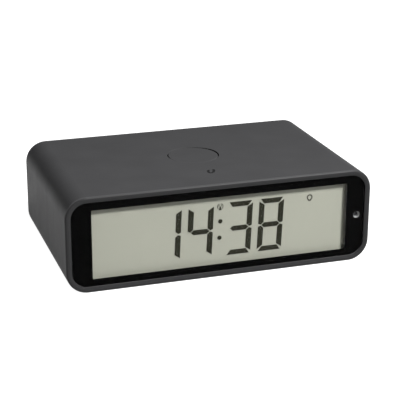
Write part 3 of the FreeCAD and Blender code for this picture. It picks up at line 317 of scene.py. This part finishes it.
# --- finishes -----------------------------------------------------------------------------------

RUBBED_WIDTH = 0.35 * MM
RUBBED_LIGHTER = 1.9


def moulded_plastic(name, body_shade, roughness, grains=2600.0, depth=0.004, wear=0.0, specular=0.5,
                    spread=0.08, dusty=0.0):
    """Moulded plastic: grain as bump, slow colour change, smears in the gloss, rubbed edges and dust."""
    material, tree, end = new_material(name)
    grain = use_group(tree, "moulded_grain", Grains_per_metre=grains)
    haze = use_group(tree, "handling")["Haze"]
    body = blend_colours(tree, grain["Shade"], four(body_shade, 1 - spread), four(body_shade, 1 + spread))
    if wear:
        worn = calculate(tree, "MULTIPLY", use_group(tree, "edge_wear", Width=RUBBED_WIDTH)["Worn"], wear)
        body = blend_colours(tree, worn, body, four(body_shade, RUBBED_LIGHTER))
    if dusty:
        specks = calculate(tree, "MULTIPLY", use_group(tree, "dust")["Specks"], dusty)
        body = blend_colours(tree, specks, body, DUST)
    finish_surface(tree, end, {
        "Base Color": body,
        "Roughness": remap(tree, haze, 0.0, 1.0, roughness - 0.04, roughness + 0.05),
        "Specular IOR Level": specular,
        "Normal": bump(tree, 0.5, depth, grain["Height"]),
    })
    return material


def bare_metal(name, body_shade, roughness, grains=1500.0, depth=0.003):
    """Bare or plated metal: fine noise in the bump and the gloss, and a clouded tint."""
    material, tree, end = new_material(name)
    fine = noise(tree, object_place(tree), grains, 2.0)
    haze = use_group(tree, "handling", Smears_per_metre=160.0)["Haze"]
    finish_surface(tree, end, {
        "Base Color": blend_colours(tree, haze, four(body_shade), four(body_shade, 0.8)),
        "Metallic": 1.0,
        "Roughness": remap(tree, fine, 0.3, 0.7, roughness - 0.05, roughness + 0.08),
        "Normal": bump(tree, 0.6, depth, fine),
    })
    return material


def clear_panel(name, index, tint, roughness):
    """A clear sheet: straight-through light, with a mirror layer that grows towards grazing angles."""
    material, tree, end = new_material(name)
    haze = use_group(tree, "handling", Smears_per_metre=70.0)["Haze"]
    through = node(tree, "ShaderNodeBsdfTransparent", {"Color": four(tint)})
    gloss = node(tree, "ShaderNodeBsdfPrincipled", {
        "Base Color": WHITE,
        "Metallic": 1.0,
        "Roughness": remap(tree, haze, 0.0, 1.0, roughness, roughness + 0.05),
    })
    share = node(tree, "ShaderNodeFresnel", {"IOR": index}).outputs[0]
    finish_mixed_surface(tree, end, share, through, gloss)
    return material


def printed_board(name):
    """Green laminate: straight copper paths seen through the lacquer, and scattered bright pads."""
    material, tree, end = new_material(name)
    place = object_place(tree)
    cells = {"Vector": place, "Scale": 380.0, "Randomness": 0.8}
    nearest, second = (
        node(tree, "ShaderNodeTexVoronoi", cells, feature=order, distance="CHEBYCHEV").outputs["Distance"]
        for order in ("F1", "F2")
    )
    path = remap(tree, calculate(tree, "SUBTRACT", second, nearest), 0.07, 0.11, 1.0, 0.0)
    dots = node(tree, "ShaderNodeTexVoronoi", {"Vector": place, "Scale": 260.0, "Randomness": 0.9})
    pad = remap(tree, dots.outputs["Distance"], 0.11, 0.14, 1.0, 0.0)
    grain = use_group(tree, "moulded_grain", Grains_per_metre=4000.0)
    body = blend_colours(tree, grain["Shade"], (0.012, 0.075, 0.025, 1.0), (0.016, 0.095, 0.032, 1.0))
    body = blend_colours(tree, path, body, (0.035, 0.20, 0.06, 1.0))
    body = blend_colours(tree, pad, body, (0.62, 0.60, 0.55, 1.0))
    rise = calculate(tree, "ADD", calculate(tree, "MULTIPLY", path, 0.5), pad)
    finish_surface(tree, end, {
        "Base Color": body,
        "Metallic": calculate(tree, "MULTIPLY", pad, 0.9),
        "Roughness": remap(tree, pad, 0.0, 1.0, 0.32, 0.24),
        "Normal": bump(tree, 0.6, 0.03, rise),
    })
    return material


def striped_rubber(name):
    """Rubber strips with fine conducting stripes across them."""
    material, tree, end = new_material(name)
    wave = {"Vector": object_place(tree), "Scale": 900.0, "Distortion": 0.4}
    stripes = node(tree, "ShaderNodeTexWave", wave, bands_direction="Z").outputs["Fac"]
    share = remap(tree, stripes, 0.4, 0.6, 0.0, 1.0)
    finish_surface(tree, end, {
        "Base Color": blend_colours(tree, share, (0.10, 0.10, 0.10, 1.0), (0.45, 0.45, 0.42, 1.0)),
        "Roughness": 0.7,
        "Normal": bump(tree, 0.4, 0.01, stripes),
    })
    return material


def display_ground(name, body_shade):
    """The ground of a reflective display: fine sparkle of its brushed rear film."""
    material, tree, end = new_material(name)
    place = object_place(tree)
    sparkle = noise(tree, place, 5200.0, 1.0)
    cloud = noise(tree, place, 24.0, 2.0)
    tone = remap(tree, weighted_sum(tree, sparkle, 0.5, cloud, 0.5), 0.35, 0.65, 0.0, 1.0)
    finish_surface(tree, end, {
        "Base Color": blend_colours(tree, tone, four(body_shade, 0.965), four(body_shade, 1.035)),
        "Roughness": remap(tree, sparkle, 0.3, 0.7, 0.5, 0.62),
        "Specular IOR Level": 0.15,
        "Normal": bump(tree, 0.3, 0.002, sparkle),
    })
    return material


def sleeve_coating(case):
    """The soft-touch coating: fine grain, slow shade, smears, rubbed edges, and painted shade that darkens
    the rim at the front.
    """
    material, tree, end = new_material("sleeve_coating")
    grain = use_group(tree, "moulded_grain", Grains_per_metre=3200.0)
    haze = use_group(tree, "handling")["Haze"]
    worn = calculate(tree, "MULTIPLY", use_group(tree, "edge_wear", Width=case.wear_width)["Worn"], 0.12)
    specks = calculate(tree, "MULTIPLY", use_group(tree, "dust")["Specks"], 0.04)
    along = node(tree, "ShaderNodeSeparateXYZ", {"Vector": object_place(tree)}).outputs["Y"]
    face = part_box("housing_sleeve")[0].y
    # Painted shade: the front rim is fully darkened up to 0.26 mm behind the front face, fading out by 0.34
    # mm; this also dims the highlight on the front edge.
    painted_rim_shade = remap(tree, along, face + 0.26 * MM, face + 0.34 * MM, 1.0, 0.0)
    body = blend_colours(tree, grain["Shade"], four(case.sleeve, 0.95), four(case.sleeve, 1.05))
    body = blend_colours(tree, worn, body, four(case.sleeve, 1.8))
    body = blend_colours(tree, specks, body, DUST)
    # Painted shade: the front rim is darkened to a third of the coating's colour.
    body = blend_colours(tree, painted_rim_shade, body, four(case.sleeve, 0.33))
    finish_surface(tree, end, {
        "Base Color": body,
        "Roughness": remap(tree, haze, 0.0, 1.0, case.roughness - 0.03, case.roughness + 0.04),
        "Specular IOR Level": 0.12,
        "Normal": bump(tree, 0.5, 0.006, grain["Height"]),
    })
    return material


def give(material, *names):
    """Assign one material to the shown objects of these solids."""
    for name in names:
        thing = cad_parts[name]
        thing.data.materials.clear()
        thing.data.materials.append(material)


# --- surfaces -----------------------------------------------------------------------------------


def grid(points, wrap_rows=False):
    """Points on a grid of rows, joined to their next neighbours by four-sided faces; each row is a ring."""
    rows, columns = points.shape[:2]
    row, column = np.meshgrid(np.arange(rows if wrap_rows else rows - 1), np.arange(columns), indexing="ij")
    row, column = row.ravel(), column.ravel()
    below, beside = (row + 1) % rows, (column + 1) % columns
    near, far = row * columns, below * columns
    faces = [near + column, near + beside, far + beside, far + column]
    return points.reshape(-1, 3), np.stack(faces, -1)


def turned(profile, centre, count=64):
    """A profile of (radius, distance along x) turned about x: centre + radius * (cos t, sin t) across."""
    radius, along = np.array(profile, float).T[:, :, None] * MM
    turn = np.linspace(0, 2 * np.pi, count, endpoint=False)
    rings = np.broadcast_arrays(along, radius * np.cos(turn), radius * np.sin(turn))
    return np.stack(rings, -1) + np.array(centre)


def round_rectangle(width, height, bend, steps):
    """Rectangles with round corners, one per row: each corner's centre plus bend * (cos t, sin t)."""
    width, height, bend = (np.atleast_1d(part).astype(float)[:, None, None] for part in (width, height, bend))
    side = np.array([1, -1, -1, 1])[:, None]
    rise = np.array([1, 1, -1, -1])[:, None]
    turn = np.radians(np.array([0, 90, 180, 270])[:, None] + np.linspace(0, 90, steps))
    across = side * (width / 2 - bend) + bend * np.cos(turn)
    up = rise * (height / 2 - bend) + bend * np.sin(turn)
    rows = across.shape[0]
    return across.reshape(rows, -1), up.reshape(rows, -1)


def band(path, width, thickness):
    """A flat band along a plane path: each point moved half the width to both sides, low and high."""
    ahead = np.gradient(path, axis=0)
    ahead /= np.linalg.norm(ahead, axis=1, keepdims=True)
    side = np.stack([-ahead[:, 1], ahead[:, 0]], -1) * width / 2
    low, high = np.zeros((len(path), 1)), np.full((len(path), 1), thickness)
    edges = [(path - side, low), (path + side, low), (path + side, high), (path - side, high)]
    return np.stack([np.hstack(edge) for edge in edges], 1)


def make_piece(name, patches, body, material, replaces=(), sharp=35):
    """Join grids of points into one closed mesh object that rides on a body; sharp is in degrees."""
    points, faces, count = [], [], 0
    for corners, quads in patches:
        points.append(corners)
        faces.append(quads + count)
        count += len(corners)
    mesh = bpy.data.meshes.new(name)
    mesh.from_pydata(np.vstack(points).tolist(), [], np.vstack(faces).tolist())
    tool = bmesh.new()
    tool.from_mesh(mesh)
    bmesh.ops.remove_doubles(tool, verts=tool.verts, dist=1e-7)
    bmesh.ops.holes_fill(tool, edges=tool.edges, sides=0)
    bmesh.ops.recalc_face_normals(tool, faces=tool.faces)
    tool.to_mesh(mesh)
    tool.free()
    mesh.shade_smooth()
    mesh.set_sharp_from_angle(angle=math.radians(sharp))
    mesh.materials.append(material)
    piece = bpy.data.objects.new(name, mesh)
    bpy.context.scene.collection.objects.link(piece)
    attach(piece, body)
    if replaces:
        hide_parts(*replaces)


# --- operators ----------------------------------------------------------------------------------


class ClockOperator(bpy.types.Operator):
    """Shared options of this file's operators."""

    bl_options = {"REGISTER", "UNDO"}


class CLOCK_OT_case(ClockOperator):
    """Coat the sleeve and its two round keys"""

    bl_idname = "clock.case"
    bl_label = "Finish case"

    def execute(self, context):
        give(sleeve_coating(context.scene.clock_case), "housing_sleeve", "upper_key", "lower_key")
        return {"FINISHED"}


class CLOCK_OT_window(ClockOperator):
    """Make the clear panel, its print and what is seen through it"""

    bl_idname = "clock.window"
    bl_label = "Finish window"

    def execute(self, context):
        display = context.scene.clock_display
        context.scene.cycles.transparent_max_bounces = 16
        give(clear_panel("panel_acrylic", display.panel_index, (0.985, 0.985, 0.985), 0.02), "front_lens")
        give(moulded_plastic("panel_print", display.mask, 0.35, specular=0.01, spread=0.05), "lens_mask")
        give(
            display_ground("display_ground", display.ground),
            "lcd_rear_glass", "lcd_reflector", "lcd_seal",
        )
        give(moulded_plastic("segment_ink", display.ink, 0.6, specular=0.1), "lcd_segments")
        give(moulded_plastic("faint_ink", display.icons, 0.6, specular=0.1), "lcd_icons")
        add_face_glass(clear_panel("display_film", 1.03, (0.99, 0.99, 0.985), 0.05))
        return {"FINISHED"}


def add_face_glass(material):
    """The face glass and film of the display as one slab: a round rectangle at four depths, closed."""
    low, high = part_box("lcd_front_glass")
    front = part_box("lcd_front_polariser")[0].y
    edge = 0.1 * MM
    corner = 0.4 * MM
    inset = np.array([2 * edge, edge, edge, 2 * edge])
    depth = np.array([front + edge, front + 2 * edge, high.y - 2 * edge, high.y - edge])
    width, height = high.x - low.x - 2 * inset, high.z - low.z - 2 * inset
    across, up = round_rectangle(width, height, corner - inset / 2, steps=4)
    centre = (low + high) / 2
    along = np.repeat(depth[:, None], across.shape[1], 1)
    shell = np.stack([across + centre.x, along, up + centre.z], -1)
    make_piece("display_face_glass", [grid(shell)], "case", material,
               replaces=("lcd_front_polariser", "lcd_front_glass"))


class CLOCK_OT_marks(ClockOperator):
    """Print the bell on top, and the crossed bell underneath"""

    bl_idname = "clock.marks"
    bl_label = "Print marks"

    def execute(self, context):
        case = context.scene.clock_case
        ink = moulded_plastic("mark_ink", case.marks, 0.5, specular=0.2)
        low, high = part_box("housing_sleeve")
        bell = bell_paths()
        crossed = bell + [np.array([[-2.2, -2.6], [2.2, 2.6]]) * MM]
        add_face_mark("bell_mark", bell, high.z, 1, case, ink)
        add_face_mark("crossed_bell_mark", crossed, low.z, -1, case, ink)
        return {"FINISHED"}


MARK_ACROSS, MARK_ALONG = 0.3 * MM, -19.7 * MM
SUNK_SHARE = 0.2


def add_face_mark(name, paths, face, way, case, material):
    """Thin bands along plane paths, lying on the top face (way 1) or on the bottom face (way -1)."""
    patches = []
    for path in paths:
        strip = band(path, case.mark_stroke, case.mark_height)
        up = face + way * (strip[..., 2] - SUNK_SHARE * case.mark_height)
        patches.append(grid(np.stack([strip[..., 0] + MARK_ACROSS, strip[..., 1] + MARK_ALONG, up], -1)))
    make_piece(name, patches, "case", material)


def bell_paths():
    """A bell as a broken ring open at the back: an ellipse 1.05 by 2 mm in radius, leaning sideways."""
    turn = np.radians(np.linspace(140, 410, 41))
    along = 2.0 * np.sin(turn)
    return [np.stack([1.05 * np.cos(turn) + 0.33 * along, along], -1) * MM]


class CLOCK_OT_inside(ClockOperator):
    """Finish the display holder, the chassis and the boards"""

    bl_idname = "clock.inside"
    bl_label = "Finish inside"

    def execute(self, context):
        give(
            moulded_plastic("holder_plastic", (0.62, 0.62, 0.60), 0.4, grains=900.0, depth=0.01, dusty=0.1),
            "lcd_holder", "light_guide",
        )
        give(moulded_plastic("sensor_sleeve_plastic", (0.34, 0.34, 0.34), 0.35), "sensor_sleeve")
        give(
            moulded_plastic("chassis_plastic", (0.2, 0.2, 0.2), 0.5, grains=1200.0, depth=0.012, wear=0.3,
                            dusty=0.2),
            "inner_chassis", "antenna_clips", "buzzer_ring", "upper_plunger", "lower_plunger",
        )
        give(
            printed_board("board_laminate"),
            "main_board", "upper_key_board", "lower_key_board", "receiver_board", "rear_key_board",
        )
        give(moulded_plastic("foam", (0.012, 0.012, 0.012), 0.9, grains=1600.0, depth=0.12), "lens_gasket")
        give(striped_rubber("striped_rubber"), "zebra_strips")
        return {"FINISHED"}


class CLOCK_OT_electronics(ClockOperator):
    """Finish what stands on the boards, and wind the antenna's coil"""

    bl_idname = "clock.electronics"
    bl_label = "Finish electronics"

    def execute(self, context):
        give(
            moulded_plastic("black_epoxy", (0.012, 0.012, 0.012), 0.3, grains=4200.0, depth=0.004),
            "controller_chip", "receiver_chip", "key_switches", "rear_switches",
        )
        give(
            moulded_plastic("sensor_dome", (0.008, 0.008, 0.010), 0.12, grains=5000.0, depth=0.001),
            "light_sensor",
        )
        give(moulded_plastic("capacitor_sleeve", (0.015, 0.018, 0.05), 0.3, spread=0.15), "capacitors")
        give(moulded_plastic("lamp_resin", (0.8, 0.75, 0.4), 0.15, spread=0.04), "backlight_leds")
        give(
            bare_metal("bright_steel", (0.6, 0.6, 0.6), 0.3),
            "board_screws", "quartz_crystal", "tilt_switch_can", "tilt_switch_cap", "tilt_switch_legs",
            "contact_plates", "contact_leaves",
        )
        give(
            bare_metal("polished_steel", (0.66, 0.66, 0.68), 0.12, grains=3000.0, depth=0.0006),
            "tilt_ball",
        )
        give(
            moulded_plastic("ferrite", (0.05, 0.05, 0.055), 0.6, grains=2600.0, depth=0.03, spread=0.2),
            "antenna_core",
        )
        give(bare_metal("sounder_brass", (0.8, 0.6, 0.25), 0.3), "buzzer_plate")
        give(
            moulded_plastic("sounder_ceramic", (0.75, 0.73, 0.65), 0.4, grains=3400.0, depth=0.008),
            "buzzer_ceramic",
        )
        give(moulded_plastic("wire_red", (0.5, 0.02, 0.01), 0.4, spread=0.15), "battery_wire_red")
        give(moulded_plastic("wire_black", (0.01, 0.01, 0.01), 0.4, spread=0.15), "battery_wire_black")
        add_winding(bare_metal("copper_winding", (0.75, 0.35, 0.15), 0.35, grains=2500.0))
        return {"FINISHED"}


def add_winding(material):
    """The antenna's winding: radius = outside - groove * (1 - |sin|), the sine's phase turning as a screw."""
    low, high = (np.array(corner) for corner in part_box("antenna_coil"))
    middle = (low + high) / 2
    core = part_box("antenna_core")[1].z - middle[2]
    outside = (high[2] - low[2]) / 2 - 0.05 * MM
    wire, groove, bare_end, core_gap = 0.45 * MM, 0.16 * MM, 0.2 * MM, 0.1 * MM
    turn = np.linspace(0, 2 * np.pi, 48, endpoint=False)
    along = np.linspace(low[0] + bare_end, high[0] - bare_end, 540)[:, None]
    bead = np.abs(np.sin(np.pi * along / wire - turn / 2))
    radius = outside - groove * (1 - bead)
    rows = np.stack(np.broadcast_arrays(along, radius * np.cos(turn), radius * np.sin(turn)), -1)
    ends = rows[[0, -1]].copy()
    ends[..., 1:] *= (core + core_gap) / np.linalg.norm(ends[..., 1:], axis=-1, keepdims=True)
    rows = np.vstack([ends[:1], rows, ends[1:]])
    rows[..., 1:] += middle[1:]
    make_piece("antenna_winding", [grid(rows, wrap_rows=True)], "case", material,
               replaces=("antenna_coil",), sharp=80)


class CLOCK_OT_battery(ClockOperator):
    """Make the two cells"""

    bl_idname = "clock.battery"
    bl_label = "Make cells"

    def execute(self, context):
        low, high = (np.array(corner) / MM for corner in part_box("battery_cells"))
        middle = (low[1] + high[1]) / 2
        parts = [[], [], []]
        for way, start, up in ((1, low[0], high[2] - CELL_RADIUS), (-1, high[0], low[2] + CELL_RADIUS)):
            centre = (0, middle * MM, up * MM)
            for patches, profile in zip(parts, cell_profiles(high[0] - low[0])):
                placed = [(radius, start + way * far) for radius, far in profile]
                patches.append(grid(turned(placed, centre), wrap_rows=True))
        cans, jackets, bands = parts
        metal = bare_metal("cell_steel", (0.62, 0.62, 0.62), 0.22, grains=1800.0)
        jacket = moulded_plastic("cell_jacket", (0.10, 0.11, 0.13), 0.28, grains=900.0, depth=0.002,
                                 spread=0.04)
        stripe = moulded_plastic("cell_band", (0.45, 0.20, 0.06), 0.25, grains=900.0, depth=0.002,
                                 spread=0.05)
        make_piece("cell_cans", cans, "case", metal, replaces=("battery_cells",))
        make_piece("cell_jackets", jackets, "case", jacket)
        make_piece("cell_bands", bands, "case", stripe)
        return {"FINISHED"}


CELL_RADIUS = 5.25
CELL_NUB = 0.8
CELL_BARE_END = 0.5


def cell_profiles(long):
    """A cell's can, jacket and stripe as (radius, distance from the flat end), in millimetres."""
    shoulder = long - CELL_NUB
    skin = CELL_RADIUS - 0.02
    under = CELL_RADIUS - 0.06
    can = [
        (0.01, 0.0), (3.2, 0.0), (3.3, 0.12), (4.6, 0.12), (4.95, 0.3), (5.0, CELL_BARE_END + 0.3),
        (5.0, shoulder - 0.9), (4.9, shoulder - 0.35), (4.4, shoulder - 0.2), (3.0, shoulder - 0.15),
        (2.75, shoulder), (2.7, long - 0.2), (2.5, long - 0.02), (0.01, long),
    ]
    jacket = [
        (4.5, CELL_BARE_END - 0.2), (5.1, CELL_BARE_END - 0.15), (skin, CELL_BARE_END),
        (skin, shoulder - 0.7), (5.1, shoulder - 0.35), (4.6, shoulder - 0.25), (4.6, shoulder - 0.4),
        (4.9, shoulder - 0.8), (4.9, CELL_BARE_END + 0.4),
    ]
    stripe = [
        (under, shoulder - 9.0), (CELL_RADIUS, shoulder - 8.95), (CELL_RADIUS, shoulder - 3.05),
        (under, shoulder - 3.0),
    ]
    return can, jacket, stripe


class CLOCK_OT_rear(ClockOperator):
    """Finish the rear cover, its keys, screws and battery door, and print the rear marks"""

    bl_idname = "clock.rear"
    bl_label = "Finish rear"

    def execute(self, context):
        case = context.scene.clock_case
        give(
            moulded_plastic("cover_plastic", case.cover, 0.5, grains=1800.0, depth=0.02, wear=0.3,
                            dusty=0.15),
            "rear_cover", "battery_tray",
        )
        give(
            moulded_plastic("door_plastic", case.cover, 0.48, grains=1800.0, depth=0.02, wear=0.4,
                            dusty=0.15),
            "battery_door",
        )
        give(
            moulded_plastic("key_plastic", case.cover, 0.4, grains=3000.0, depth=0.006, wear=0.4),
            "set_key", "plus_key", "minus_key", "light_key",
        )
        give(bare_metal("screw_steel", (0.12, 0.12, 0.12), 0.35, grains=2200.0), "cover_screws")
        ink = moulded_plastic("pale_ink", case.pale_marks, 0.5, specular=0.2)
        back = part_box("rear_cover")[1].y
        plus = plus_paths()
        key_paths = {"set": dial_paths(), "plus": plus, "minus": plus[:1], "light": lamp_paths()}
        for word, paths in key_paths.items():
            low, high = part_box(word + "_key")
            add_rear_mark(word + "_mark", paths, (low.x + high.x) / 2, low.z - KEY_MARK_DROP, back, ink)
        low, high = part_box("battery_door")
        arrow = [np.array([[-1.4, -1.6], [0.2, 0.0], [-1.4, 1.6]]) * MM]
        add_rear_mark("door_arrow", arrow, low.x + ARROW_INSET, (low.z + high.z) / 2, high.y, ink,
                      body="battery_door", raised=ARROW_HEIGHT)
        return {"FINISHED"}


KEY_MARK_DROP = 2.0 * MM
ARROW_INSET = 8.0 * MM
ARROW_HEIGHT = 0.25 * MM
REAR_STROKE = 0.32 * MM
REAR_SUNK = 0.006 * MM


def add_rear_mark(name, paths, across, up, back, material, body="case", raised=0.03 * MM):
    """Thin bands along plane paths, standing on a face that looks to the rear."""
    patches = []
    for path in paths:
        strip = band(path, REAR_STROKE, raised)
        along = back - REAR_SUNK + strip[..., 2]
        patches.append(grid(np.stack([across - strip[..., 0], along, up + strip[..., 1]], -1)))
    make_piece(name, patches, body, material)


def dial_paths():
    """A small dial: a circle and two hands."""
    turn = np.linspace(0, 2 * np.pi, 33)
    ring = np.stack([np.cos(turn), np.sin(turn)], -1)
    return [ring * MM, np.array([[0.0, 0.7], [0.0, 0.0], [0.5, 0.0]]) * MM]


def plus_paths():
    """A level stroke, then an upright one in two halves."""
    level = np.array([[-0.9, 0.0], [0.9, 0.0]])
    return [level * MM, np.array([[0.0, 0.2], [0.0, 0.9]]) * MM, np.array([[0.0, -0.9], [0.0, -0.2]]) * MM]


def lamp_paths():
    """A small lamp with rays: a circle and eight short strokes about it."""
    turn = np.linspace(0, 2 * np.pi, 25)
    paths = [np.stack([np.cos(turn), np.sin(turn)], -1) * 0.5 * MM]
    for ray in np.arange(8) * np.pi / 4:
        way = np.array([np.cos(ray), np.sin(ray)])
        paths.append(np.stack([way * 0.75, way * 1.15]) * MM)
    return paths


class CLOCK_OT_stage(ClockOperator):
    """Set up the table, the lights and the camera"""

    bl_idname = "clock.stage"
    bl_label = "Set up stage"

    def execute(self, context):
        stage = context.scene.clock_stage
        build_table(stage.table_glow)
        build_lights(stage)
        build_camera(stage)
        return {"FINISHED"}


# --- stage --------------------------------------------------------------------------------------

TABLE_RINGS = (0.0, 0.3, 1.0, 4.0)
TABLE_DROP = 0.05 * MM
GLOW_ON_CLOCK = 0.475
KEY_DIRECTION = (0.371, -0.618, 0.693)
FILL_DIRECTION = (-0.90, 0.35, 0.05)
FILL_BROADER = 2.6


def build_table(glow):
    """A wide pale table: rings of points about the clock, radius times (cos t, sin t); clear from below."""
    rings = np.array(TABLE_RINGS)[:, None]
    turn = np.linspace(0, 2 * np.pi, 96, endpoint=False)
    points = np.stack(np.broadcast_arrays(rings * np.cos(turn), rings * np.sin(turn), -TABLE_DROP), -1)
    corners, faces = grid(points)
    mesh = bpy.data.meshes.new("table")
    mesh.from_pydata(corners.tolist(), [], faces[:, ::-1].tolist())
    table = bpy.data.objects.new("table", mesh)
    bpy.context.scene.collection.objects.link(table)
    material, tree, end = new_material("table_board")
    fibre = noise(tree, object_place(tree), 900.0, 3.0)
    seen = node(tree, "ShaderNodeLightPath").outputs["Is Camera Ray"]
    board = node(tree, "ShaderNodeBsdfPrincipled", {
        "Base Color": blend_colours(tree, fibre, (0.28, 0.28, 0.28, 1.0), (0.32, 0.32, 0.32, 1.0)),
        "Roughness": 0.8,
        "Specular IOR Level": 0.1,
        "Emission Color": WHITE,
        "Emission Strength": remap(tree, seen, 0.0, 1.0, GLOW_ON_CLOCK * glow, glow),
    })
    under = node(tree, "ShaderNodeNewGeometry").outputs["Backfacing"]
    finish_mixed_surface(tree, end, under, board, node(tree, "ShaderNodeBsdfTransparent"))
    mesh.materials.append(material)


def clock_middle():
    """The middle of the clock's box."""
    low, high = (Vector(corner) for corner in SOLIDS_BOX)
    return (low + high) / 2


def area_light(name, direction, distance, breadth, power):
    """A square soft light that faces the clock's middle from a direction."""
    data = bpy.data.lights.new(name, "AREA")
    data.shape = "SQUARE"
    data.size = breadth
    data.energy = power
    light = bpy.data.objects.new(name, data)
    middle = clock_middle()
    light.location = middle + Vector(direction).normalized() * distance
    light.rotation_euler = (middle - light.location).to_track_quat("-Z", "Y").to_euler()
    bpy.context.scene.collection.objects.link(light)


def build_lights(stage):
    """A key light from the upper right in front, a broad low one at the left, and dim surroundings."""
    area_light("key_light", KEY_DIRECTION, stage.light_distance, stage.key_breadth, stage.key_power)
    area_light("fill_light", FILL_DIRECTION, stage.light_distance, FILL_BROADER * stage.key_breadth,
               stage.fill_power)
    world = bpy.data.worlds.new("surroundings")
    world.use_nodes = True
    world.node_tree.nodes["Background"].inputs[0].default_value = WHITE
    world.node_tree.nodes["Background"].inputs[1].default_value = stage.ambient
    bpy.context.scene.world = world


def build_camera(stage):
    """The camera looks at a point a little beside and below the clock's middle."""
    ahead = Vector((
        math.sin(stage.turn) * math.cos(stage.tilt),
        math.cos(stage.turn) * math.cos(stage.tilt),
        -math.sin(stage.tilt),
    ))
    right = Vector((math.cos(stage.turn), -math.sin(stage.turn), 0.0))
    upward = right.cross(ahead)
    data = bpy.data.cameras.new("camera")
    data.sensor_width = 36.0
    data.lens = stage.lens
    data.clip_start = 0.01
    camera = bpy.data.objects.new("camera", data)
    camera.location = clock_middle() - ahead * stage.distance + right * stage.beside - upward * stage.below
    camera.rotation_euler = ahead.to_track_quat("-Z", "Y").to_euler()
    camera.rotation_euler.rotate_axis("Z", stage.roll)
    bpy.context.scene.collection.objects.link(camera)
    bpy.context.scene.camera = camera
    bpy.context.scene.view_settings.view_transform = "Standard"


# --- add-on -------------------------------------------------------------------------------------

SETTINGS = {
    "clock_case": ClockCaseSettings,
    "clock_display": ClockDisplaySettings,
    "clock_stage": ClockStageSettings,
}
OPERATORS = (CLOCK_OT_case, CLOCK_OT_window, CLOCK_OT_marks, CLOCK_OT_inside, CLOCK_OT_electronics,
             CLOCK_OT_battery, CLOCK_OT_rear, CLOCK_OT_stage)


class CLOCK_PT_panel(bpy.types.Panel):
    """Lists the clock's operators and settings in the 3D view's sidebar"""

    bl_idname = "CLOCK_PT_panel"
    bl_label = "Turn-over Clock"
    bl_space_type = "VIEW_3D"
    bl_region_type = "UI"
    bl_category = "Clock"

    def draw(self, context):
        for name in SETTINGS:
            settings = getattr(context.scene, name)
            box = self.layout.box()
            for key in settings.__annotations__:
                box.prop(settings, key)
        for operator in OPERATORS:
            self.layout.operator(operator.bl_idname)


def register():
    """Register the settings, operators and panel."""
    for name, kind in SETTINGS.items():
        bpy.utils.register_class(kind)
        setattr(bpy.types.Scene, name, PointerProperty(type=kind))
    for kind in OPERATORS + (CLOCK_PT_panel,):
        bpy.utils.register_class(kind)


def unregister():
    """Remove what register added."""
    for kind in reversed(OPERATORS + (CLOCK_PT_panel,)):
        bpy.utils.unregister_class(kind)
    for name, kind in SETTINGS.items():
        delattr(bpy.types.Scene, name)
        bpy.utils.unregister_class(kind)


def main():
    """Run every operator in order."""
    register()
    for operator in OPERATORS:
        family, action = operator.bl_idname.split(".")
        getattr(getattr(bpy.ops, family), action)()
    bpy.context.view_layer.update()


if __name__ == "__main__":
    main()
